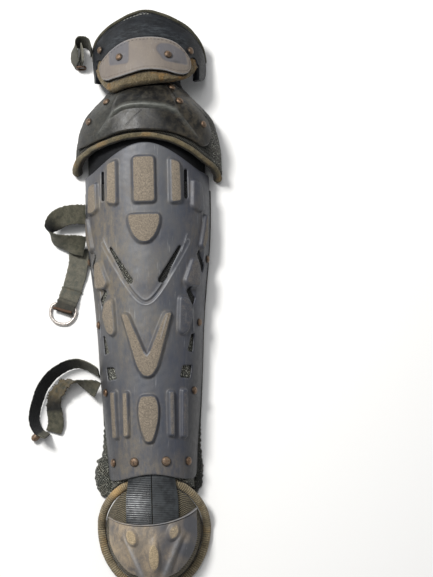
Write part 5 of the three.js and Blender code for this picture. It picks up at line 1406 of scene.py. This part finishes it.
def beside_flank(form, anchor):
    """Turns (out, along, height) into a place beside the left flank that a form has at the anchor."""
    flank = form.point(-1, form.start + form.length * anchor, 0)[0]

    def place(spot):
        out, along, height = spot
        y = form.start + form.length * along
        return np.array([flank - out * WEBBING_WIDTH, y, height * WEBBING_WIDTH])
    return place


beside_upper = beside_flank(shin_form, 0.814)
beside_lower = beside_flank(shin_form, 0.312)
beside_thigh = beside_flank(thigh_form, 0.6)
OPEN, DARK = [(0, 0), (1, 0)], [(0, 0.9), (1, 0.9)]


def make_strap(node, route, place, width_share, material, seed, front, back, fray, lumps=0.0):
    rows = [(place(spot), across) for spot, across in route]
    obj = band(node + "_weave", rows, WEBBING_WIDTH * width_share, WEBBING_THICKNESS, seed, front, back,
               fray, lumps)
    return dress(obj, "webbing", material, node)


def make_webbing():
    little = [(0, 0.5), (1, 0.5)]
    # The front and back tables paint shade: mostly painted shade on faces that lie in shadow, such as inside
    # the loops; they also darken the whole thigh strap, make the tail's stitched and rusty bands, and with a
    # negative value paint the lower strap's end lighter.
    make_strap("calf_strap_upper", UPPER_STRAP, beside_upper, 1, olive_webbing, 101,
               [(0, 0), (0.36, 0.1), (0.5, 1), (1, 1)],
               [(0, 0.9), (0.5, 0.9), (0.56, 0.15), (0.9, 0), (1, 0.4)], little)
    make_strap("calf_strap_tail", TAIL, beside_upper, 1, grey_webbing, 102, DARK,
               [(0, 0.3), (0.12, 0), (0.6, 0), (0.615, 0.6), (0.63, 0.1), (0.78, 0.1), (0.8, 0.6),
                (0.82, 0.3), (0.86, 0.65), (1, 0.6)],
               [(0, 0.5), (0.6, 0.5), (0.62, 2.0), (0.65, 0.6), (1, 1.1)])
    make_strap("calf_strap_lower", LOWER_STRAP, beside_lower, 1, olive_webbing, 103,
               [(0, 0.1), (0.16, 0.15), (0.3, 0.95), (0.93, 1), (0.96, -0.9), (1, -0.9)],
               [(0, 0.3), (0.2, 0.5), (1, 0.8)], little)
    make_strap("calf_strap_return", RETURN_STRAP, beside_lower, 0.8, olive_webbing, 104,
               [(0, 0), (0.22, 0.1), (0.27, 0.9), (0.36, 0.75), (0.45, 0.25), (0.7, 0.2), (0.8, 0.8),
                (0.86, 0.2), (1, 0.3)],
               [(0, 0.9), (0.3, 0.9), (0.42, 0.2), (0.8, 0.1), (1, 0)],
               [(0, 0.4), (0.26, 0.5), (0.36, 2.4), (0.58, 3.0), (0.7, 2.2), (0.8, 0.7), (1, 0.5)], 0.5)
    make_strap("thigh_strap", THIGH_STRAP, beside_thigh, 1, olive_webbing, 105,
               [(0, 0.5), (1, 0.4)], [(0, 0.3), (1, 0.4)], little)
    make_strap("thigh_strap_tab", THIGH_TAB, beside_thigh, 1, grey_webbing, 106, OPEN, OPEN, little)


def set_dust(obj, amount):
    layer = obj.data.attributes.new("dust", "FLOAT", "POINT")
    layer.data.foreach_set("value", np.full(len(obj.data.vertices), amount, np.float32))


def wire_loop(name, node, corners, radius, material, seed):
    points = spline(corners + corners[:3], (len(corners) + 2) * 12 + 1)
    first, last = 12, 12 * (len(corners) + 1)
    obj = tube(name, points[first:last], radius, 14, closed=True, bumpiness=0.03, seed=seed)
    set_dust(obj, 0.4)
    return dress(obj, "buckle", material, node)


def make_fittings():
    loop = [beside_upper(spot) for spot in BUCKLE_LOOP]
    wire_loop("calf_buckle_wire", "calf_buckle", loop, BUCKLE_WIRE, steel, 111)
    first, last = [beside_upper(spot) for spot in BUCKLE_BAR_ENDS]
    points = first + (last - first) * np.linspace(0, 1, 40)[:, None]
    bar = tube("calf_buckle_bar", points, BUCKLE_BAR, 14, bumpiness=0.08, fuzz=0.05, seed=114)
    set_dust(bar, 1.0)
    dress(bar, "buckle", rusty, "calf_buckle")
    loop = [beside_thigh(spot) for spot in HOOK_LOOP]
    wire_loop("thigh_hook_wire", "thigh_hook", loop, HOOK_WIRE, rusty, 112)
    turn = np.array([math.sin(SNAP["turn"]), math.cos(SNAP["turn"]), 0])
    shares = np.array([-1, -0.97, -0.85, -0.6, -0.25, 0.25, 0.6, 0.85, 0.97, 1])
    reach = shares * (SNAP["radius"] + SNAP["straight"])
    points = beside_lower(SNAP_PLACE) + turn * reach[:, None]
    past = np.clip(np.abs(reach) - SNAP["straight"], 0, None) / SNAP["radius"]
    radii = SNAP["radius"] * np.sqrt(np.clip(1 - past ** 2, 0.01, 1))
    stud = tube("calf_snap_stud", points, radii, 22, bumpiness=0.05, seed=113)
    set_dust(stud, 0.6)
    dress(stud, "rivet", copper, "calf_snap")


make_shin_shell()
make_shin_liner()
rivet_row("shin_rivet", shin_form, [
    (-0.64, 0.038, 0.95, 0.35, 0.0), (-0.235, 0.038, 1.0, 0.75, 0.0),
    (0.215, 0.038, 1.04, 0.95, 0.0), (0.6, 0.038, 0.95, 0.3, 0.0),
    (-0.69, 0.249, 0.88, 0.2, 0.0), (0.67, 0.249, 0.88, 0.3, 0.0),
    (-0.76, 0.457, 0.88, 0.3, 0.0), (0.74, 0.457, 0.88, 0.5, 0.15),
    (-0.9, 0.658, 0.88, 0.5, 0.1), (0.88, 0.658, 0.88, 0.5, 0.2)], 0.0)
make_link("knee_link_cloth", "knee_link", shin_form, knee_form,
          y_from=LINER_TOP + 1, y_to=KNEE_START + 0.558 * KNEE_LENGTH,
          reach=0.9, end_reach=0.78, turn=0.6, start_lift=-SHELL_WALL - 2 * GAP,
          end_lift=-KNEE_LINER_THICKNESS - 2 * GAP)
make_knee_liner()
make_knee_hem()
make_knee_shell()
on_knee = KNEE_SHELL_LIFT + SHELL_WALL
rivet_row("knee_rivet", knee_form, [
    (-0.404, 0.723, 0.85, 0.55, 0.1), (0.343, 0.699, 0.92, 0.35, 0.0),
    (-0.558, 0.542, 0.85, 0.6, 0.1), (0.547, 0.48, 0.85, 0.5, 0.1),
    (0.344, 0.872, 0.85, 0.4, 0.1, on_knee + 3 * GAP)], on_knee)
make_link("thigh_link_cloth", "thigh_link", knee_form, thigh_form,
          y_from=KNEE_LINER_TOP + 1.5 * GAP, y_to=THIGH_START + 0.37 * THIGH_LENGTH,
          reach=0.75, end_reach=0.45, turn=0.02, start_lift=-2.0,
          end_lift=-THIGH_PAD_THICKNESS - 4 * GAP)
make_thigh_pad()
make_thigh_piping()
make_thigh_bumper()
make_thigh_plate()
on_plate = THIGH_PLATE_WALL + 3 * GAP
rivet_row("thigh_rivet", thigh_form, [
    (-0.294, 0.349, 0.84, 0.6, 0.15, on_plate), (0.221, 0.354, 0.88, 0.5, 0.15, on_plate),
    (*PAD_DIMPLES[0], 0.82, 0.5, 0.2), (*PAD_DIMPLES[1], 0.85, 0.5, 0.2)], 0.0)
make_toe_shell()
make_toe_piping()
make_toe_liner()
make_toe_binding()
make_ankle_strap(-1, "ankle_strap_left", elastic_left, 1.0)
make_ankle_strap(1, "ankle_strap_right", elastic_right, 0.05)
make_webbing()
make_fittings()

# Floor, light and camera, in metres
FLOOR_REACH, FLOOR_DROP = 6, 0.0003
floor_mesh = bpy.data.meshes.new("floor")
corners = [(x * FLOOR_REACH, y * FLOOR_REACH, 0) for x, y in ((-1, -1), (1, -1), (1, 1), (-1, 1))]
floor_mesh.from_pydata(corners, [], [(0, 1, 2, 3)])
floor = bpy.data.objects.new("floor", floor_mesh)
bpy.context.collection.objects.link(floor)
floor.location.z = -FLOOR_DROP
floor_shader = Shader("pale_floor")
floor_shader.colour = floor_shader.mix(floor_shader.noise(900, 2), rgb(240, 240, 239), rgb(244, 244, 243))
floor.data.materials.append(floor_shader.finish(0.9))


def area_light(name, place, aim, size, power, colour=(1, 1, 1)):
    data = bpy.data.lights.new(name, "AREA")
    data.shape = "DISK"
    data.size = size
    data.energy = power
    data.color = colour
    light = bpy.data.objects.new(name, data)
    light.location = place
    light.rotation_euler = (Vector(aim) - Vector(place)).to_track_quat("-Z", "Y").to_euler()
    bpy.context.collection.objects.link(light)


area_light("key", (-0.8, 0.85, 1.75), (0, 0, 0), size=0.5, power=45, colour=(1.0, 0.985, 0.96))
area_light("sheet_light", (-0.15, 0.7, 2.2), (0, 0.05, 0), size=1.5, power=14)

world = bpy.data.worlds.new("studio")
world.use_nodes = True
world.node_tree.nodes["Background"].inputs["Color"].default_value = (0.97, 0.98, 1.0, 1)
world.node_tree.nodes["Background"].inputs["Strength"].default_value = 0.28
bpy.context.scene.world = world
bpy.context.scene.view_settings.view_transform = "Standard"

YAW, PITCH = math.radians(1.6), math.radians(9.0)
FOCAL_PIXELS, PHOTO_HEIGHT, SENSOR = 1216, 577, 36
CAMERA_PLACE = np.array([76.5, -9.5, 1500.0])
up_guard = Vector((math.sin(YAW), math.cos(YAW), 0))
right = Vector((math.cos(YAW), -math.sin(YAW), 0))
forward = Vector((0, 0, -1)) * math.cos(PITCH) + up_guard * math.sin(PITCH)
image_up = up_guard * math.cos(PITCH) + Vector((0, 0, 1)) * math.sin(PITCH)
camera_data = bpy.data.cameras.new("camera")
camera_data.lens = SENSOR * FOCAL_PIXELS / PHOTO_HEIGHT
camera_data.sensor_width = SENSOR
camera_data.clip_end = 20
camera = bpy.data.objects.new("camera", camera_data)
turned = Matrix((right, image_up, -forward)).transposed().to_4x4()
camera.matrix_world = Matrix.Translation(Vector((CAMERA_PLACE + GUARD_SHIFT) * 0.001)) @ turned
bpy.context.collection.objects.link(camera)
bpy.context.scene.camera = camera
